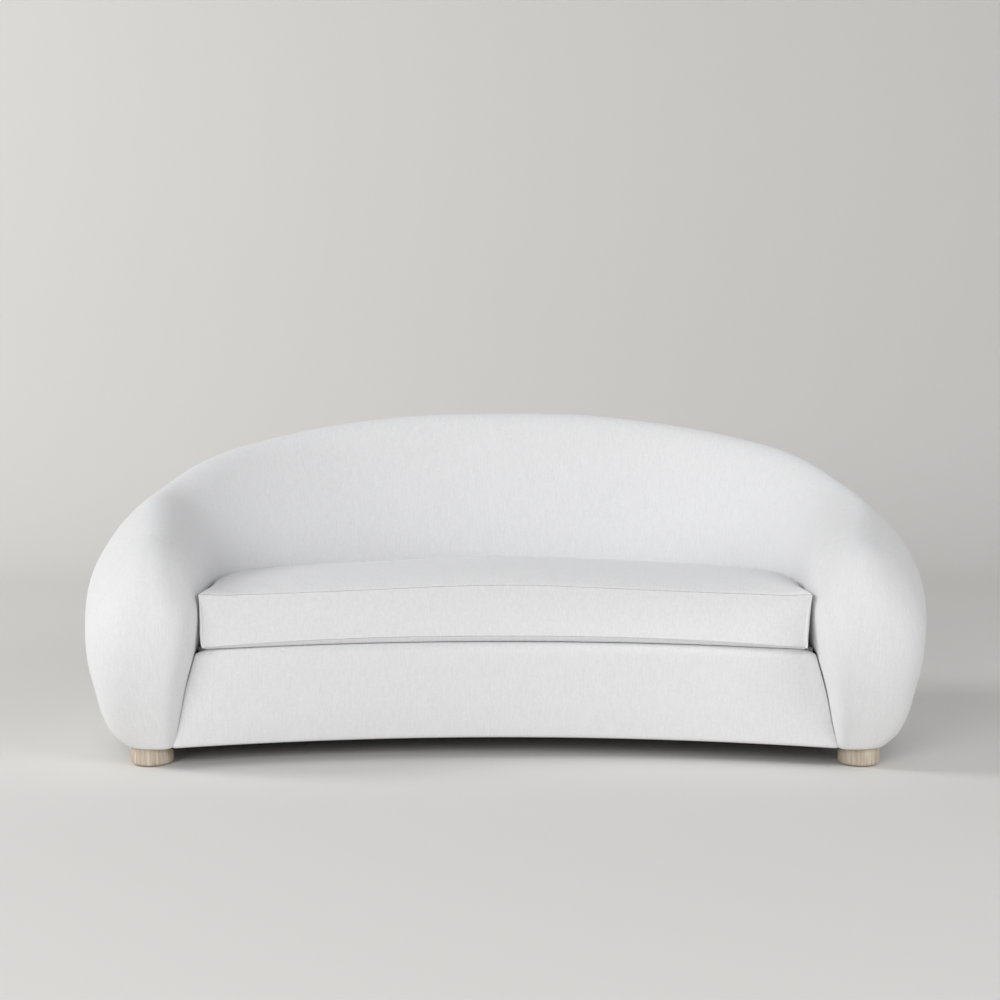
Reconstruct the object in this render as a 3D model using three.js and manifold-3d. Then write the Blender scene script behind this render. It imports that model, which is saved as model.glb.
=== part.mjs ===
// Curved sofa with one loose bench cushion, built as it comes apart on a bench.
// Millimetres. +X is to the right of someone who faces the sofa, +Y is its back, +Z is up.
// The origin is on the floor, under the middle of the outer box.
import * as THREE from "three";
import { mergeVertices } from "three/addons/utils/BufferGeometryUtils.js";
import Module from "manifold-3d";

const wasm = await Module();
wasm.setup();

// Driving dimensions of the whole sofa
const WIDTH = 2130;
const DEPTH = 1030;
const HEIGHT = 830;
const CLEARANCE = 47; // floor to the underside of the cover
const DECK = 280; // floor to the deck that carries the cushion
const GAP = 0.3; // between pieces that touch
const OVERRUN = 5; // how far a cutting solid runs past what it cuts

// The upholstered shell runs along a spine: middle of the back, round a corner, down an arm to its paw
const ARM_THICKNESS = 330;
const BACK_THICKNESS = 240;
const PAW_THICKNESS = 300;
const WIDEST_Y = -90; // where the spine is widest
const TOE_IN = 50; // how far an arm's front leans towards the middle
const PAW_LENGTH = 180; // rounded front of an arm
const PAW_UNDERCUT = 110; // how far the paw draws back at its underside
const ARM_DROP = 56; // how far an arm's crest falls below the arch at its front
const SPINE_POWER = 2.15; // 2 is an ellipse, more is squarer
const CREST_WIDEST = 340; // height where the sofa is widest, seen from the front
const CREST_BEYOND = 7.5; // how far outside the widest point the arch of the crest ends
const CREST_POWER = 2.28;
const PAW_TURN = 1.5; // radians from the arm's side to the paw's tip
const PAW_POWER = 0.8;
const PAW_DROP_SHARE = 0.25;
const PAW_CENTRE_SHARE = -0.2;
const UNDERCUT_TOP_SHARE = 0.75;

// Cross-sections of the shell from the inner bottom edge, over the crest, to the outer bottom edge.
// Each point is a share of the half thickness, outwards, and a share of the height above the underside.
const BACK_SHARES = [
  [-1.02, 0], [-1.03, 0.12], [-1.02, 0.25], [-1.0, 0.36], [-0.9, 0.52], [-0.74, 0.68],
  [-0.52, 0.83], [-0.24, 0.95], [0.1, 1.0], [0.44, 0.965], [0.74, 0.87], [0.94, 0.72],
  [1.0, 0.54], [0.97, 0.36], [0.9, 0.2], [0.79, 0.08], [0.62, 0],
];
const ARM_SHARES = [
  [-0.66, 0], [-0.8, 0.12], [-0.93, 0.27], [-1.0, 0.42], [-0.99, 0.58], [-0.9, 0.74],
  [-0.66, 0.88], [-0.33, 0.97], [0.0, 1.0], [0.34, 0.92], [0.66, 0.8], [0.92, 0.675],
  [1.0, 0.54], [0.98, 0.36], [0.86, 0.2], [0.68, 0.075], [0.36, 0],
];
const PAW_SHARES = [
  [-0.48, 0], [-0.53, 0.11], [-0.59, 0.25], [-0.78, 0.42], [-0.84, 0.58], [-0.8, 0.74],
  [-0.6, 0.88], [-0.3, 0.97], [0.02, 1.0], [0.34, 0.925], [0.66, 0.795], [0.9, 0.67],
  [1.0, 0.54], [0.98, 0.36], [0.88, 0.19], [0.72, 0.075], [0.42, 0],
];
const BACK_TO_ARM_SHARES = [0.3, 1]; // places between which each of these changes
const ARM_DROP_SHARES = [0.5, 2];
const THICKNESS_SHARES = [0.2, 1];

// Shares of the way along the spine: 0 is the middle of the back, 1 the widest point, 2 where a paw begins
const WIDEST_SHARE = 1;
const ARM_FRONT_SHARE = 2;
const PAW_TIP_SHARE = 3;
const BACK_STEPS = 11;
const ARM_STEPS = 2;
const PAW_STEPS = 5;
const OPEN_SIDE_END_SHARE = 1.8; // the inner side is open under the deck up to this place
const RIB_SHARES = [0, 0.33, 0.66, 1];
const REAR_FOOT_SHARE = 0.495;
const FOAM_JOINT_STEPS = [4, 11]; // steps from the middle of the back at which two foams meet
const FRAME_JOINT_Y = 120; // where the side boards meet the back boards

// Upholstery layers
const COVER = 2.5;
const PAD = 42; // cover and foam together
const UNDERSIDE_INSET = 70; // opening in the cover's turned-under edge
const DUST_COVER = 1.2;
const DUST_COVER_INSET = 45;

// Front border under the cushion
const BORDER_SETBACK = 120; // paw tips to the border's outer ends
const BORDER_SAG = 120; // how far the border's middle lies behind its ends
const BORDER_END = 67; // from a paw's middle line in to the border's lower end
const BORDER_TAPER = 26; // how much further in each end is at the top
const BORDER_CORNER = 42;
const BORDER_EDGE = 24; // rounding of the border's top front edge
const BORDER_FLARE = 40; // how far each side runs into the paw before it is cut
const BORDER_PAD = 42;
const BORDER_KEEP = 20; // depth of paw side that the border's ends lie against
const BORDER_FLANGE = 28;
const BORDER_STEPS = 12;
const CORNER_STEPS = 4;

// Wooden frame
const BOARD = 18;
const RAIL = 22;
const RIB = 15;
const RIB_CLEAR = 7.7; // from the front rib to the foot block
const RIB_HOLE_SHARE = 0.52;
const TOP_RAIL_WIDTH = 30;
const TOP_RAIL_DEPTH = 45;
const TOP_RAIL_DROP = 9;
const TOP_RAIL_END_SHARE = 2.1;
const STRETCHER_WIDTH = 36;
const STRETCHER_DEPTH = 60;
const STRETCHER_X = 250;
const BLOCK = 48;
const BLOCK_HEIGHT = 50;

// Webbing and deck
const WEB = 1.6;
const WEB_WIDTH = 60;
const LONG_WEB_COUNT = 5;
const WEB_SIDE_IN = 340; // from a paw's middle line in to the outermost long web
const CROSS_WEB_SHARES = [-0.2136, 0.1165]; // of the half depth
const CROSS_RAMP = 35; // length of a cross web's climb over or under a long one
const DECK_PAD = 16;
const DECK_CLOTH = 1.5;

// Feet
const FOOT_RADIUS = 49.5;
const FOOT_ROUND = 8;
const FOOT_TOP_ROUND = 2;
const FOOT_LIFT = 2; // wood stands this far off the floor, on its glide
const GLIDE_RADIUS = 34;
const GLIDE = 4;
const BOLT_RADIUS = 4;
const BOLT_IN_FOOT = 24;
const FOOT_SIDES = 16;
const ROUND_SIDES = 10;
const ARC_STEPS = 3;

// Seat cushion
const CUSHION_GAP = 5; // from the walls
const CUSHION_CENTRE_SHARE = 0.567; // of the way from its front corners to its back
const LOWER_SEAM = 18; // above the deck
const UPPER_SEAM = 125;
const SEAM_RISE = 11; // the upper seam's middle over its ends
const BULGE = 6; // how far the boxing stands out from its seams
const CROWN = 30;
const CROWN_INSETS = [16, 52, 120, 210];
const CROWN_RISE_SHARES = [0.42, 0.76, 0.94, 0.99];
const UNDERSIDE_IN = 10; // where the flat underside begins
const CORNER_CLEAR = 45; // least length of the outline's edges beside a corner
const CUSHION_COVER = 2.2;
const WRAP = 14;

// Zip in the back of the cushion's boxing, on a true arc so that its slider can run
const ZIP_HALF = 390;
const ZIP_CHAIN = 5;
const ZIP_CHAIN_PROUD = 1;
const ZIP_TAPE = 1.8;
const ZIP_TAPE_WIDTH = 28;
const ZIP_STEPS = 10;
const ZIP_ROOM = 4; // further from the wall, so that the slider and its pull pass
const SLIDER_LENGTH = 12;
const SLIDER_WIDTH = 9;
const SLIDER = 3;
const PULL = 1.4;
const PULL_WIDTH = 7;
const PULL_LENGTH = 24;
const PULL_PIN_RADIUS = 1.5;

// Places and heights that follow
const CREST_HALF = WIDTH / 2 + CREST_BEYOND;
const PAW_X = (WIDTH - ARM_THICKNESS) / 2 - TOE_IN;
const PAW_Y = -DEPTH / 2 + PAW_LENGTH;
const FRONT_RIB_SHARE = ARM_FRONT_SHARE - (BLOCK / 2 + RIB / 2 + RIB_CLEAR) / (WIDEST_Y - PAW_Y);
const LONG_WEB_PITCH = (PAW_X - WEB_SIDE_IN) / ((LONG_WEB_COUNT - 1) / 2);
const BORDER_HALF = PAW_X - BORDER_END;
const BORDER_TOP_HALF = BORDER_HALF - BORDER_TAPER;
const BORDER_FRONT_Y = -DEPTH / 2 + BORDER_SETBACK;
const BORDER_REACH = BORDER_HALF + BORDER_FLARE;
const FRAME_BOTTOM = CLEARANCE + COVER + GAP;
const BOARD_TOP = FRAME_BOTTOM + BOARD;
const CLOTH_BOTTOM = DECK - DECK_CLOTH;
const PAD_BOTTOM = CLOTH_BOTTOM - GAP - DECK_PAD;
const WEB_STEP = WEB + GAP;
const WEB_BOTTOM = PAD_BOTTOM - 2 * WEB_STEP;
const RAIL_TOP = WEB_BOTTOM - GAP;
const DUST_TOP = CLEARANCE - GAP;
const DUST_BOTTOM = DUST_TOP - DUST_COVER;
const FOOT_TOP = DUST_BOTTOM - GAP;
const ZIP_HEIGHT = DECK + (LOWER_SEAM + UPPER_SEAM) / 2;
const FLAT_BOXING = ZIP_TAPE_WIDTH / 2 + GAP; // half height of the boxing's upright band

// Looks
const COVER_CLOTH = { color: 0xe4e3e1, roughness: 0.95 };
const FOAM = { color: 0xe9e2cf, roughness: 0.95 };
const FIBRE = { color: 0xf2f2f0, roughness: 0.95 };
const WASHED_OAK = { color: 0xc8b89c, roughness: 0.6 };
const PINE = { color: 0xcfae7c, roughness: 0.75 };
const BIRCH_PLY = { color: 0xd2b58a, roughness: 0.7 };
const WEB_CLOTH = { color: 0x2b2a2c, roughness: 0.9 };
const DUST_CLOTH = { color: 0x1f1f21, roughness: 0.95 };
const ZINC = { color: 0xb4b6b8, roughness: 0.35, metalness: 1 };
const NYLON = { color: 0xe2e1dd, roughness: 0.6 };
const FELT = { color: 0x77736d, roughness: 0.9 };

// Solids from three.js geometry, and back
function solidOf(geometry) {
  const bare = geometry.clone();
  bare.deleteAttribute("normal");
  bare.deleteAttribute("uv");
  const merged = mergeVertices(bare);
  const vertProperties = new Float32Array(merged.attributes.position.array);
  const triVerts = new Uint32Array(merged.index.array);
  return new wasm.Manifold(new wasm.Mesh({ numProp: 3, vertProperties, triVerts }));
}

function geometryOf(solid) {
  const mesh = solid.getMesh();
  const geometry = new THREE.BufferGeometry();
  geometry.setAttribute("position", new THREE.BufferAttribute(mesh.vertProperties, mesh.numProp));
  geometry.setIndex(new THREE.BufferAttribute(mesh.triVerts, 1));
  geometry.computeVertexNormals();
  return geometry;
}

function signedVolume(points, faces) {
  const volume = faces.map(([a, b, c]) => points[a].dot(points[b].clone().cross(points[c])));
  return volume.reduce((sum, part) => sum + part, 0);
}

function solidOfFaces(points, faces) {
  const outward = signedVolume(points, faces) > 0;
  const geometry = new THREE.BufferGeometry();
  geometry.setFromPoints(points);
  geometry.setIndex(faces.flatMap(([a, b, c]) => (outward ? [a, b, c] : [a, c, b])));
  return solidOf(geometry);
}

function ringFaces(first, second, count) {
  const faces = [];
  for (let k = 0; k < count; k += 1) {
    const next = (k + 1) % count;
    faces.push([first + k, first + next, second + next]);
    faces.push([first + k, second + next, second + k]);
  }
  return faces;
}

// A solid through rings of points, closed at both ends by the triangles of a flat outline
function loft(rings, outline) {
  const count = rings[0].length;
  const faces = [];
  for (let i = 0; i + 1 < rings.length; i += 1) {
    faces.push(...ringFaces(i * count, (i + 1) * count, count));
  }
  const flat = outline.map(([a, b]) => new THREE.Vector2(a, b));
  const last = (rings.length - 1) * count;
  for (const [a, b, c] of THREE.ShapeUtils.triangulateShape(flat, [])) {
    faces.push([a, c, b]);
    faces.push([last + a, last + b, last + c]);
  }
  return solidOfFaces(rings.flat(), orient(faces, rings, flat));
}

// Turns the end triangles so that they agree with the sides
function orient(faces, rings, flat) {
  const sides = (rings.length - 1) * rings[0].length * 2;
  const clockwise = THREE.ShapeUtils.isClockWise(flat);
  return faces.map((face, i) => (i < sides || !clockwise ? face : [face[0], face[2], face[1]]));
}

// A solid through closed rings with a middle point at each end
function dome(rings, bottomMiddle, topMiddle) {
  const count = rings[0].length;
  const points = [...rings.flat(), bottomMiddle, topMiddle];
  const bottom = points.length - 2;
  const top = points.length - 1;
  const last = (rings.length - 1) * count;
  const faces = [];
  for (let i = 0; i + 1 < rings.length; i += 1) {
    faces.push(...ringFaces(i * count, (i + 1) * count, count));
  }
  for (let k = 0; k < count; k += 1) {
    const next = (k + 1) % count;
    faces.push([next, k, bottom]);
    faces.push([last + k, last + next, top]);
  }
  return solidOfFaces(points, faces);
}

function prism(plan, low, high, holes = []) {
  const shape = new THREE.Shape(plan);
  shape.holes = holes;
  const geometry = new THREE.ExtrudeGeometry(shape, { depth: high - low, bevelEnabled: false });
  return solidOf(geometry.translate(0, 0, low));
}

function box(low, high) {
  const size = new THREE.Vector3().subVectors(high, low);
  const middle = new THREE.Vector3().addVectors(high, low).divideScalar(2);
  const geometry = new THREE.BoxGeometry(size.x, size.y, size.z);
  return solidOf(geometry.translate(middle.x, middle.y, middle.z));
}

function slab(low, high) {
  return box(new THREE.Vector3(-WIDTH, -DEPTH, low), new THREE.Vector3(WIDTH, DEPTH, high));
}

function post(x, y, radius, low, high, sides) {
  const geometry = new THREE.CylinderGeometry(radius, radius, high - low, sides);
  geometry.rotateX(Math.PI / 2);
  return solidOf(geometry.translate(x, y, (low + high) / 2));
}

// The spine and what varies along it
function smooth([from, to], value) {
  return THREE.MathUtils.smoothstep(value, from, to);
}

function spineAt(place) {
  const armX = (WIDTH - ARM_THICKNESS) / 2;
  const backY = (DEPTH - BACK_THICKNESS) / 2;
  if (place <= WIDEST_SHARE) {
    const angle = (place * Math.PI) / 2;
    const across = Math.sin(angle) ** (2 / SPINE_POWER);
    const back = Math.cos(angle) ** (2 / SPINE_POWER);
    return new THREE.Vector2(armX * across, WIDEST_Y + (backY - WIDEST_Y) * back);
  }
  const forward = place - WIDEST_SHARE;
  const x = armX - TOE_IN * smooth([WIDEST_SHARE, ARM_FRONT_SHARE], place);
  return new THREE.Vector2(x, WIDEST_Y + (PAW_Y - WIDEST_Y) * forward);
}

// Point, direction of travel and outward direction at a place on the right half of the spine
function spineFrame(place) {
  const step = 0.001;
  const point = spineAt(place);
  const ahead = spineAt(Math.min(ARM_FRONT_SHARE, place + step));
  const behind = spineAt(Math.max(0, place - step));
  const travel = ahead.sub(behind).normalize();
  if (place === 0) {
    travel.set(1, 0);
  }
  return { point, travel, outward: new THREE.Vector2(-travel.y, travel.x) };
}

function thicknessAt(place) {
  if (place <= WIDEST_SHARE) {
    return THREE.MathUtils.lerp(BACK_THICKNESS, ARM_THICKNESS, smooth(THICKNESS_SHARES, place));
  }
  return THREE.MathUtils.lerp(ARM_THICKNESS, PAW_THICKNESS, smooth([WIDEST_SHARE, ARM_FRONT_SHARE], place));
}

function crestAt(place) {
  const reach = Math.min(1, spineAt(Math.min(place, WIDEST_SHARE)).x / CREST_HALF);
  const arch = (1 - reach ** CREST_POWER) ** (1 / CREST_POWER);
  const drop = ARM_DROP * smooth(ARM_DROP_SHARES, place);
  return CREST_WIDEST + (HEIGHT - CREST_WIDEST) * arch - drop;
}

function sharesAt(place) {
  const toArm = smooth(BACK_TO_ARM_SHARES, place);
  const toPaw = smooth([WIDEST_SHARE, ARM_FRONT_SHARE], place);
  return BACK_SHARES.map((back, k) => back.map((value, axis) => {
    const arm = THREE.MathUtils.lerp(value, ARM_SHARES[k][axis], toArm);
    return THREE.MathUtils.lerp(arm, PAW_SHARES[k][axis], toPaw);
  }));
}

// One cross-section of the shell, drawn in from its surface and with its own underside
function sectionRing(signedPlace, inset, bottom) {
  const side = signedPlace < 0 ? -1 : 1;
  const place = Math.min(Math.abs(signedPlace), ARM_FRONT_SHARE);
  const turn = Math.max(0, Math.abs(signedPlace) - ARM_FRONT_SHARE) * PAW_TURN;
  const { point, travel, outward } = spineFrame(place);
  const half = thicknessAt(place) / 2 - inset;
  const crest = crestAt(place) - inset;
  const narrow = Math.cos(turn) ** PAW_POWER;
  const reach = (Math.sin(turn) / Math.sin(PAW_TURN)) * (1 - inset / PAW_LENGTH);
  const lower = 1 - PAW_DROP_SHARE * (1 - Math.cos(turn));
  return sharesAt(place).map(([acrossShare, upShare]) => {
    const across = ((acrossShare - PAW_CENTRE_SHARE) * narrow + PAW_CENTRE_SHARE) * half;
    const up = upShare * lower;
    const undercut = PAW_UNDERCUT * Math.max(0, 1 - up / UNDERCUT_TOP_SHARE) ** 2;
    const forward = (PAW_LENGTH - undercut) * reach;
    const x = point.x + outward.x * across + travel.x * forward;
    const y = point.y + outward.y * across + travel.y * forward;
    return new THREE.Vector3(side * x, y, bottom + up * (crest - bottom));
  });
}

function rightPlaces() {
  const places = [];
  for (let i = 1; i <= BACK_STEPS; i += 1) {
    places.push((i / BACK_STEPS) * WIDEST_SHARE);
  }
  for (let i = 1; i <= ARM_STEPS; i += 1) {
    places.push(WIDEST_SHARE + (i / ARM_STEPS) * (ARM_FRONT_SHARE - WIDEST_SHARE));
  }
  for (let i = 1; i <= PAW_STEPS; i += 1) {
    places.push(ARM_FRONT_SHARE + (i / PAW_STEPS) * (PAW_TIP_SHARE - ARM_FRONT_SHARE));
  }
  return places;
}

const RIGHT_PLACES = rightPlaces();
const PLACES = [...RIGHT_PLACES.map((place) => -place).reverse(), 0, ...RIGHT_PLACES];

function placesBetween(from, to) {
  return [from, ...PLACES.filter((place) => place > from && place < to), to];
}

function shell(inset, bottom, from = -PAW_TIP_SHARE, to = PAW_TIP_SHARE) {
  const rings = placesBetween(from, to).map((place) => sectionRing(place, inset, bottom));
  return loft(rings, ARM_SHARES);
}

// The inner wall of a section at the deck's height
function wallPoint(place, inset) {
  const ring = sectionRing(place, inset, CLEARANCE);
  const above = ring.findIndex((point) => point.z >= DECK);
  const low = ring[above - 1];
  const high = ring[above];
  const point = low.clone().lerp(high, (DECK - low.z) / (high.z - low.z));
  return new THREE.Vector2(point.x, point.y);
}

// Front line of the border, seen from above: straight between its stations
function borderStations() {
  const xs = [];
  for (let i = 0; i <= BORDER_STEPS; i += 1) {
    xs.push(THREE.MathUtils.lerp(-BORDER_REACH, BORDER_REACH, i / BORDER_STEPS));
  }
  return xs;
}

const BORDER_XS = borderStations();

function borderCurve(x) {
  return BORDER_FRONT_Y + BORDER_SAG * (1 - (x / BORDER_HALF) ** 2);
}

function borderY(x) {
  const after = BORDER_XS.findIndex((station) => station > x);
  if (after <= 0) {
    return borderCurve(x);
  }
  const [low, high] = [BORDER_XS[after - 1], BORDER_XS[after]];
  return THREE.MathUtils.mapLinear(x, low, high, borderCurve(low), borderCurve(high));
}

// Points of the front line from right to left, moved back by an offset
function frontPoints(half, offset) {
  const inner = BORDER_XS.filter((x) => Math.abs(x) < half).reverse();
  return [half, ...inner, -half].map((x) => new THREE.Vector2(x, borderY(x) + offset));
}

// A plan that follows a line down each side and ends at the front line, moved back by an offset
function planBehindFront(sidePoint, offset) {
  const right = [];
  let last = sidePoint(0);
  for (const place of RIGHT_PLACES) {
    const point = sidePoint(place);
    const behind = (p) => p.y - borderY(p.x) - offset;
    if (behind(point) <= 0) {
      const share = behind(last) / (behind(last) - behind(point));
      last = last.clone().lerp(point, share);
      break;
    }
    right.push(point);
    last = point;
  }
  const left = right.map((point) => new THREE.Vector2(-point.x, point.y)).reverse();
  return [sidePoint(0), ...right, ...frontPoints(last.x, offset), ...left];
}

function seatPlan(inset, offset) {
  return planBehindFront((place) => wallPoint(place, inset), offset);
}

function wellSide(place) {
  return place < OPEN_SIDE_END_SHARE ? spineFrame(place).point : wallPoint(place, PAD);
}

// Pieces of the sofa, in one group
const sofa = new THREE.Group();

function add(name, solid, look) {
  const mesh = new THREE.Mesh(geometryOf(solid), new THREE.MeshStandardMaterial(look));
  mesh.name = name;
  sofa.add(mesh);
}

const SIDES = [["left", -1], ["right", 1]];

const shellOutside = shell(0, CLEARANCE);
const shellGrown = shell(-GAP, CLEARANCE - OVERRUN);
const cavity = shell(PAD, CLEARANCE - OVERRUN);
const well = prism(planBehindFront(wellSide, BORDER_KEEP), -OVERRUN, DECK + GAP);

// Space for the frame inside the foam; under the deck it reaches in to the seat rails
function frameSpace() {
  const open = PLACES.filter((place) => Math.abs(place) < OPEN_SIDE_END_SHARE);
  const spine = open.map((place) => {
    const { point } = spineFrame(Math.abs(place));
    return new THREE.Vector2(Math.sign(place) * point.x, point.y);
  });
  const wall = open.map((place) => wallPoint(place, PAD)).reverse();
  const inner = prism([...spine, ...wall], FRAME_BOTTOM, DECK);
  const seat = prism(seatPlan(PAD, BORDER_KEEP), 0, DECK + GAP);
  const inside = shell(PAD + GAP, CLEARANCE - OVERRUN).intersect(slab(FRAME_BOTTOM, HEIGHT));
  return inside.add(inner).subtract(seat);
}

const frame = frameSpace();

// Wooden frame
const feetPlaces = [
  ["front", spineAt(ARM_FRONT_SHARE)],
  ["rear", spineAt(REAR_FOOT_SHARE)],
];

function boltHoles(low, high, radius) {
  return feetPlaces.flatMap(([, point]) => SIDES.map(([, side]) => (
    post(side * point.x, point.y, radius, low, high, ROUND_SIDES)
  )));
}

function cutAll(solid, cutters) {
  return cutters.reduce((left, cutter) => left.subtract(cutter), solid);
}

// Left, back and right thirds of a board that follows the shell
function splitBoards(solid, name, look) {
  const far = new THREE.Vector3(WIDTH, DEPTH, HEIGHT);
  const frontY = FRAME_JOINT_Y - GAP / 2;
  const backPart = box(new THREE.Vector3(-WIDTH, FRAME_JOINT_Y + GAP / 2, -HEIGHT), far);
  const leftPart = box(new THREE.Vector3(-WIDTH, -DEPTH, -HEIGHT), new THREE.Vector3(0, frontY, HEIGHT));
  const rightPart = box(new THREE.Vector3(0, -DEPTH, -HEIGHT), new THREE.Vector3(WIDTH, frontY, HEIGHT));
  add(`${name}_left`, solid.intersect(leftPart), look);
  add(`${name}_back`, solid.intersect(backPart), look);
  add(`${name}_right`, solid.intersect(rightPart), look);
}

function baseBoards() {
  const board = frame.intersect(slab(FRAME_BOTTOM, BOARD_TOP));
  const holes = boltHoles(FRAME_BOTTOM - OVERRUN, BOARD_TOP + OVERRUN, BOLT_RADIUS + GAP);
  splitBoards(cutAll(board, holes), "base_board", BIRCH_PLY);
}

function topRailRing(place, grow, over) {
  const crest = sectionRing(place, PAD, CLEARANCE)[ARM_SHARES.findIndex(([, up]) => up === 1)];
  const { outward } = spineFrame(Math.min(Math.abs(place), ARM_FRONT_SHARE));
  const side = place < 0 ? -1 : 1;
  const half = TOP_RAIL_WIDTH / 2 + grow;
  const high = crest.z - TOP_RAIL_DROP + over;
  const low = crest.z - TOP_RAIL_DROP - TOP_RAIL_DEPTH - grow;
  return [[-half, low], [half, low], [half, high], [-half, high]].map(([across, z]) => (
    new THREE.Vector3(crest.x + side * outward.x * across, crest.y + outward.y * across, z)
  ));
}

function topRailSolid(grow, over) {
  const end = TOP_RAIL_END_SHARE + grow / PAW_LENGTH;
  const rings = placesBetween(-end, end).map((place) => topRailRing(place, grow, over));
  return loft(rings, [[-1, -1], [1, -1], [1, 1], [-1, 1]]);
}

function shrinkRing(ring, share) {
  const middle = new THREE.Vector3();
  ring.forEach((point) => middle.addScaledVector(point, 1 / ring.length));
  return ring.map((point) => middle.clone().lerp(point, share));
}

function everySecond(ring) {
  return ring.filter((point, k) => k % 2 === 0);
}

function spineLength() {
  const points = placesBetween(0, ARM_FRONT_SHARE).map(spineAt);
  return points.slice(1).reduce((sum, point, i) => sum + point.distanceTo(points[i]), 0);
}

const PLACE_PER_MM = ARM_FRONT_SHARE / spineLength();

// An upright board across the spine
function plateAcross(place) {
  const side = place < 0 ? -1 : 1;
  const { point, travel } = spineFrame(Math.abs(place));
  const geometry = new THREE.BoxGeometry(RIB, ARM_THICKNESS, HEIGHT);
  geometry.rotateZ(Math.atan2(travel.y, side * travel.x));
  return solidOf(geometry.translate(side * point.x, point.y, HEIGHT / 2 + BOARD_TOP + GAP));
}

function rib(place, railSlot) {
  const through = 2 * RIB * PLACE_PER_MM;
  const holeRings = [place - through, place + through].map((end) => {
    const ring = sectionRing(end, PAD + GAP, FRAME_BOTTOM);
    return everySecond(shrinkRing(ring, RIB_HOLE_SHARE));
  });
  const hole = loft(holeRings, everySecond(ARM_SHARES));
  return cutAll(plateAcross(place).intersect(frame), [hole, railSlot]);
}

function ribs() {
  const railSlot = topRailSolid(GAP, TOP_RAIL_DEPTH);
  [...RIB_SHARES, FRONT_RIB_SHARE].forEach((place, i) => {
    if (place === 0) {
      add("rib_middle", rib(0, railSlot), BIRCH_PLY);
      return;
    }
    for (const [side, sign] of SIDES) {
      add(`rib_${side}_${i}`, rib(sign * place, railSlot), BIRCH_PLY);
    }
  });
}

function seatRails() {
  const front = BORDER_PAD + RAIL + GAP;
  const outer = prism(seatPlan(PAD - GAP, front), FRAME_BOTTOM, RAIL_TOP);
  const inner = prism(seatPlan(PAD - GAP - RAIL, -DEPTH), FRAME_BOTTOM - OVERRUN, RAIL_TOP + OVERRUN);
  splitBoards(outer.subtract(inner), "seat_rail", PINE);
}

// Everything behind the front line, moved back by an offset
function behindFront(offset, low, high) {
  const plan = frontPoints(BORDER_REACH, offset);
  plan.push(new THREE.Vector2(-BORDER_REACH, DEPTH), new THREE.Vector2(BORDER_REACH, DEPTH));
  return prism(plan, low, high);
}

function frontRail() {
  const outer = prism(seatPlan(PAD - GAP, BORDER_PAD), FRAME_BOTTOM, RAIL_TOP);
  const behind = behindFront(BORDER_PAD + RAIL, FRAME_BOTTOM - OVERRUN, RAIL_TOP + OVERRUN);
  add("front_rail", outer.subtract(behind), PINE);
}

function stretchers() {
  const plan = seatPlan(PAD - 2 * GAP - RAIL, BORDER_PAD + RAIL + GAP);
  const inside = prism(plan, FRAME_BOTTOM, FRAME_BOTTOM + STRETCHER_DEPTH);
  for (const [side, sign] of SIDES) {
    const low = new THREE.Vector3(sign * STRETCHER_X - STRETCHER_WIDTH / 2, -DEPTH, 0);
    const high = new THREE.Vector3(sign * STRETCHER_X + STRETCHER_WIDTH / 2, DEPTH, HEIGHT);
    add(`stretcher_${side}`, inside.intersect(box(low, high)), PINE);
  }
}

function footBlocks() {
  const half = BLOCK / 2;
  const low = BOARD_TOP + GAP;
  const high = low + BLOCK_HEIGHT;
  const holes = boltHoles(low - OVERRUN, high + OVERRUN, BOLT_RADIUS + GAP);
  for (const [end, point] of feetPlaces) {
    for (const [side, sign] of SIDES) {
      const x = sign * point.x;
      const corner = new THREE.Vector3(x - half, point.y - half, low);
      const block = box(corner, new THREE.Vector3(x + half, point.y + half, high));
      add(`foot_block_${end}_${side}`, cutAll(block.intersect(frame), holes), PINE);
    }
  }
}

// Webbing: long webs from front to back, cross webs woven over and under them
function bentStrip(path, thickness, width, y) {
  const upper = [...path].reverse().map(([x, z]) => new THREE.Vector2(x, z + thickness));
  const lower = path.map(([x, z]) => new THREE.Vector2(x, z));
  const shape = new THREE.Shape([...lower, ...upper]);
  const geometry = new THREE.ExtrudeGeometry(shape, { depth: width, bevelEnabled: false });
  geometry.rotateX(Math.PI / 2);
  return solidOf(geometry.translate(0, y + width / 2, 0));
}

function longWebX(i) {
  return (i - (LONG_WEB_COUNT - 1) / 2) * LONG_WEB_PITCH;
}

function crossWebPath(phase) {
  const path = [[-WIDTH / 2, WEB_BOTTOM]];
  for (let i = 0; i < LONG_WEB_COUNT; i += 1) {
    const over = (i + phase) % 2 === 0;
    const z = WEB_BOTTOM + (over ? WEB_STEP : -WEB_STEP);
    const flat = WEB_WIDTH / 2 + OVERRUN;
    path.push([longWebX(i) - flat - CROSS_RAMP, WEB_BOTTOM], [longWebX(i) - flat, z]);
    path.push([longWebX(i) + flat, z], [longWebX(i) + flat + CROSS_RAMP, WEB_BOTTOM]);
  }
  path.push([WIDTH / 2, WEB_BOTTOM]);
  return path;
}

function webbing() {
  const plan = seatPlan(PAD - 2 * GAP, BORDER_PAD + GAP);
  const inside = prism(plan, 0, DECK);
  for (let i = 0; i < LONG_WEB_COUNT; i += 1) {
    const low = new THREE.Vector3(longWebX(i) - WEB_WIDTH / 2, -DEPTH, WEB_BOTTOM);
    const high = new THREE.Vector3(longWebX(i) + WEB_WIDTH / 2, DEPTH, WEB_BOTTOM + WEB);
    add(`long_web_${i + 1}`, inside.intersect(box(low, high)), WEB_CLOTH);
  }
  CROSS_WEB_SHARES.forEach((share, i) => {
    const strip = bentStrip(crossWebPath(i), WEB, WEB_WIDTH, (share * DEPTH) / 2);
    add(`cross_web_${i + 1}`, inside.intersect(strip), WEB_CLOTH);
  });
}

// Upholstery of the shell
const skin = shellOutside.subtract(shell(COVER, CLEARANCE + COVER));

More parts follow.
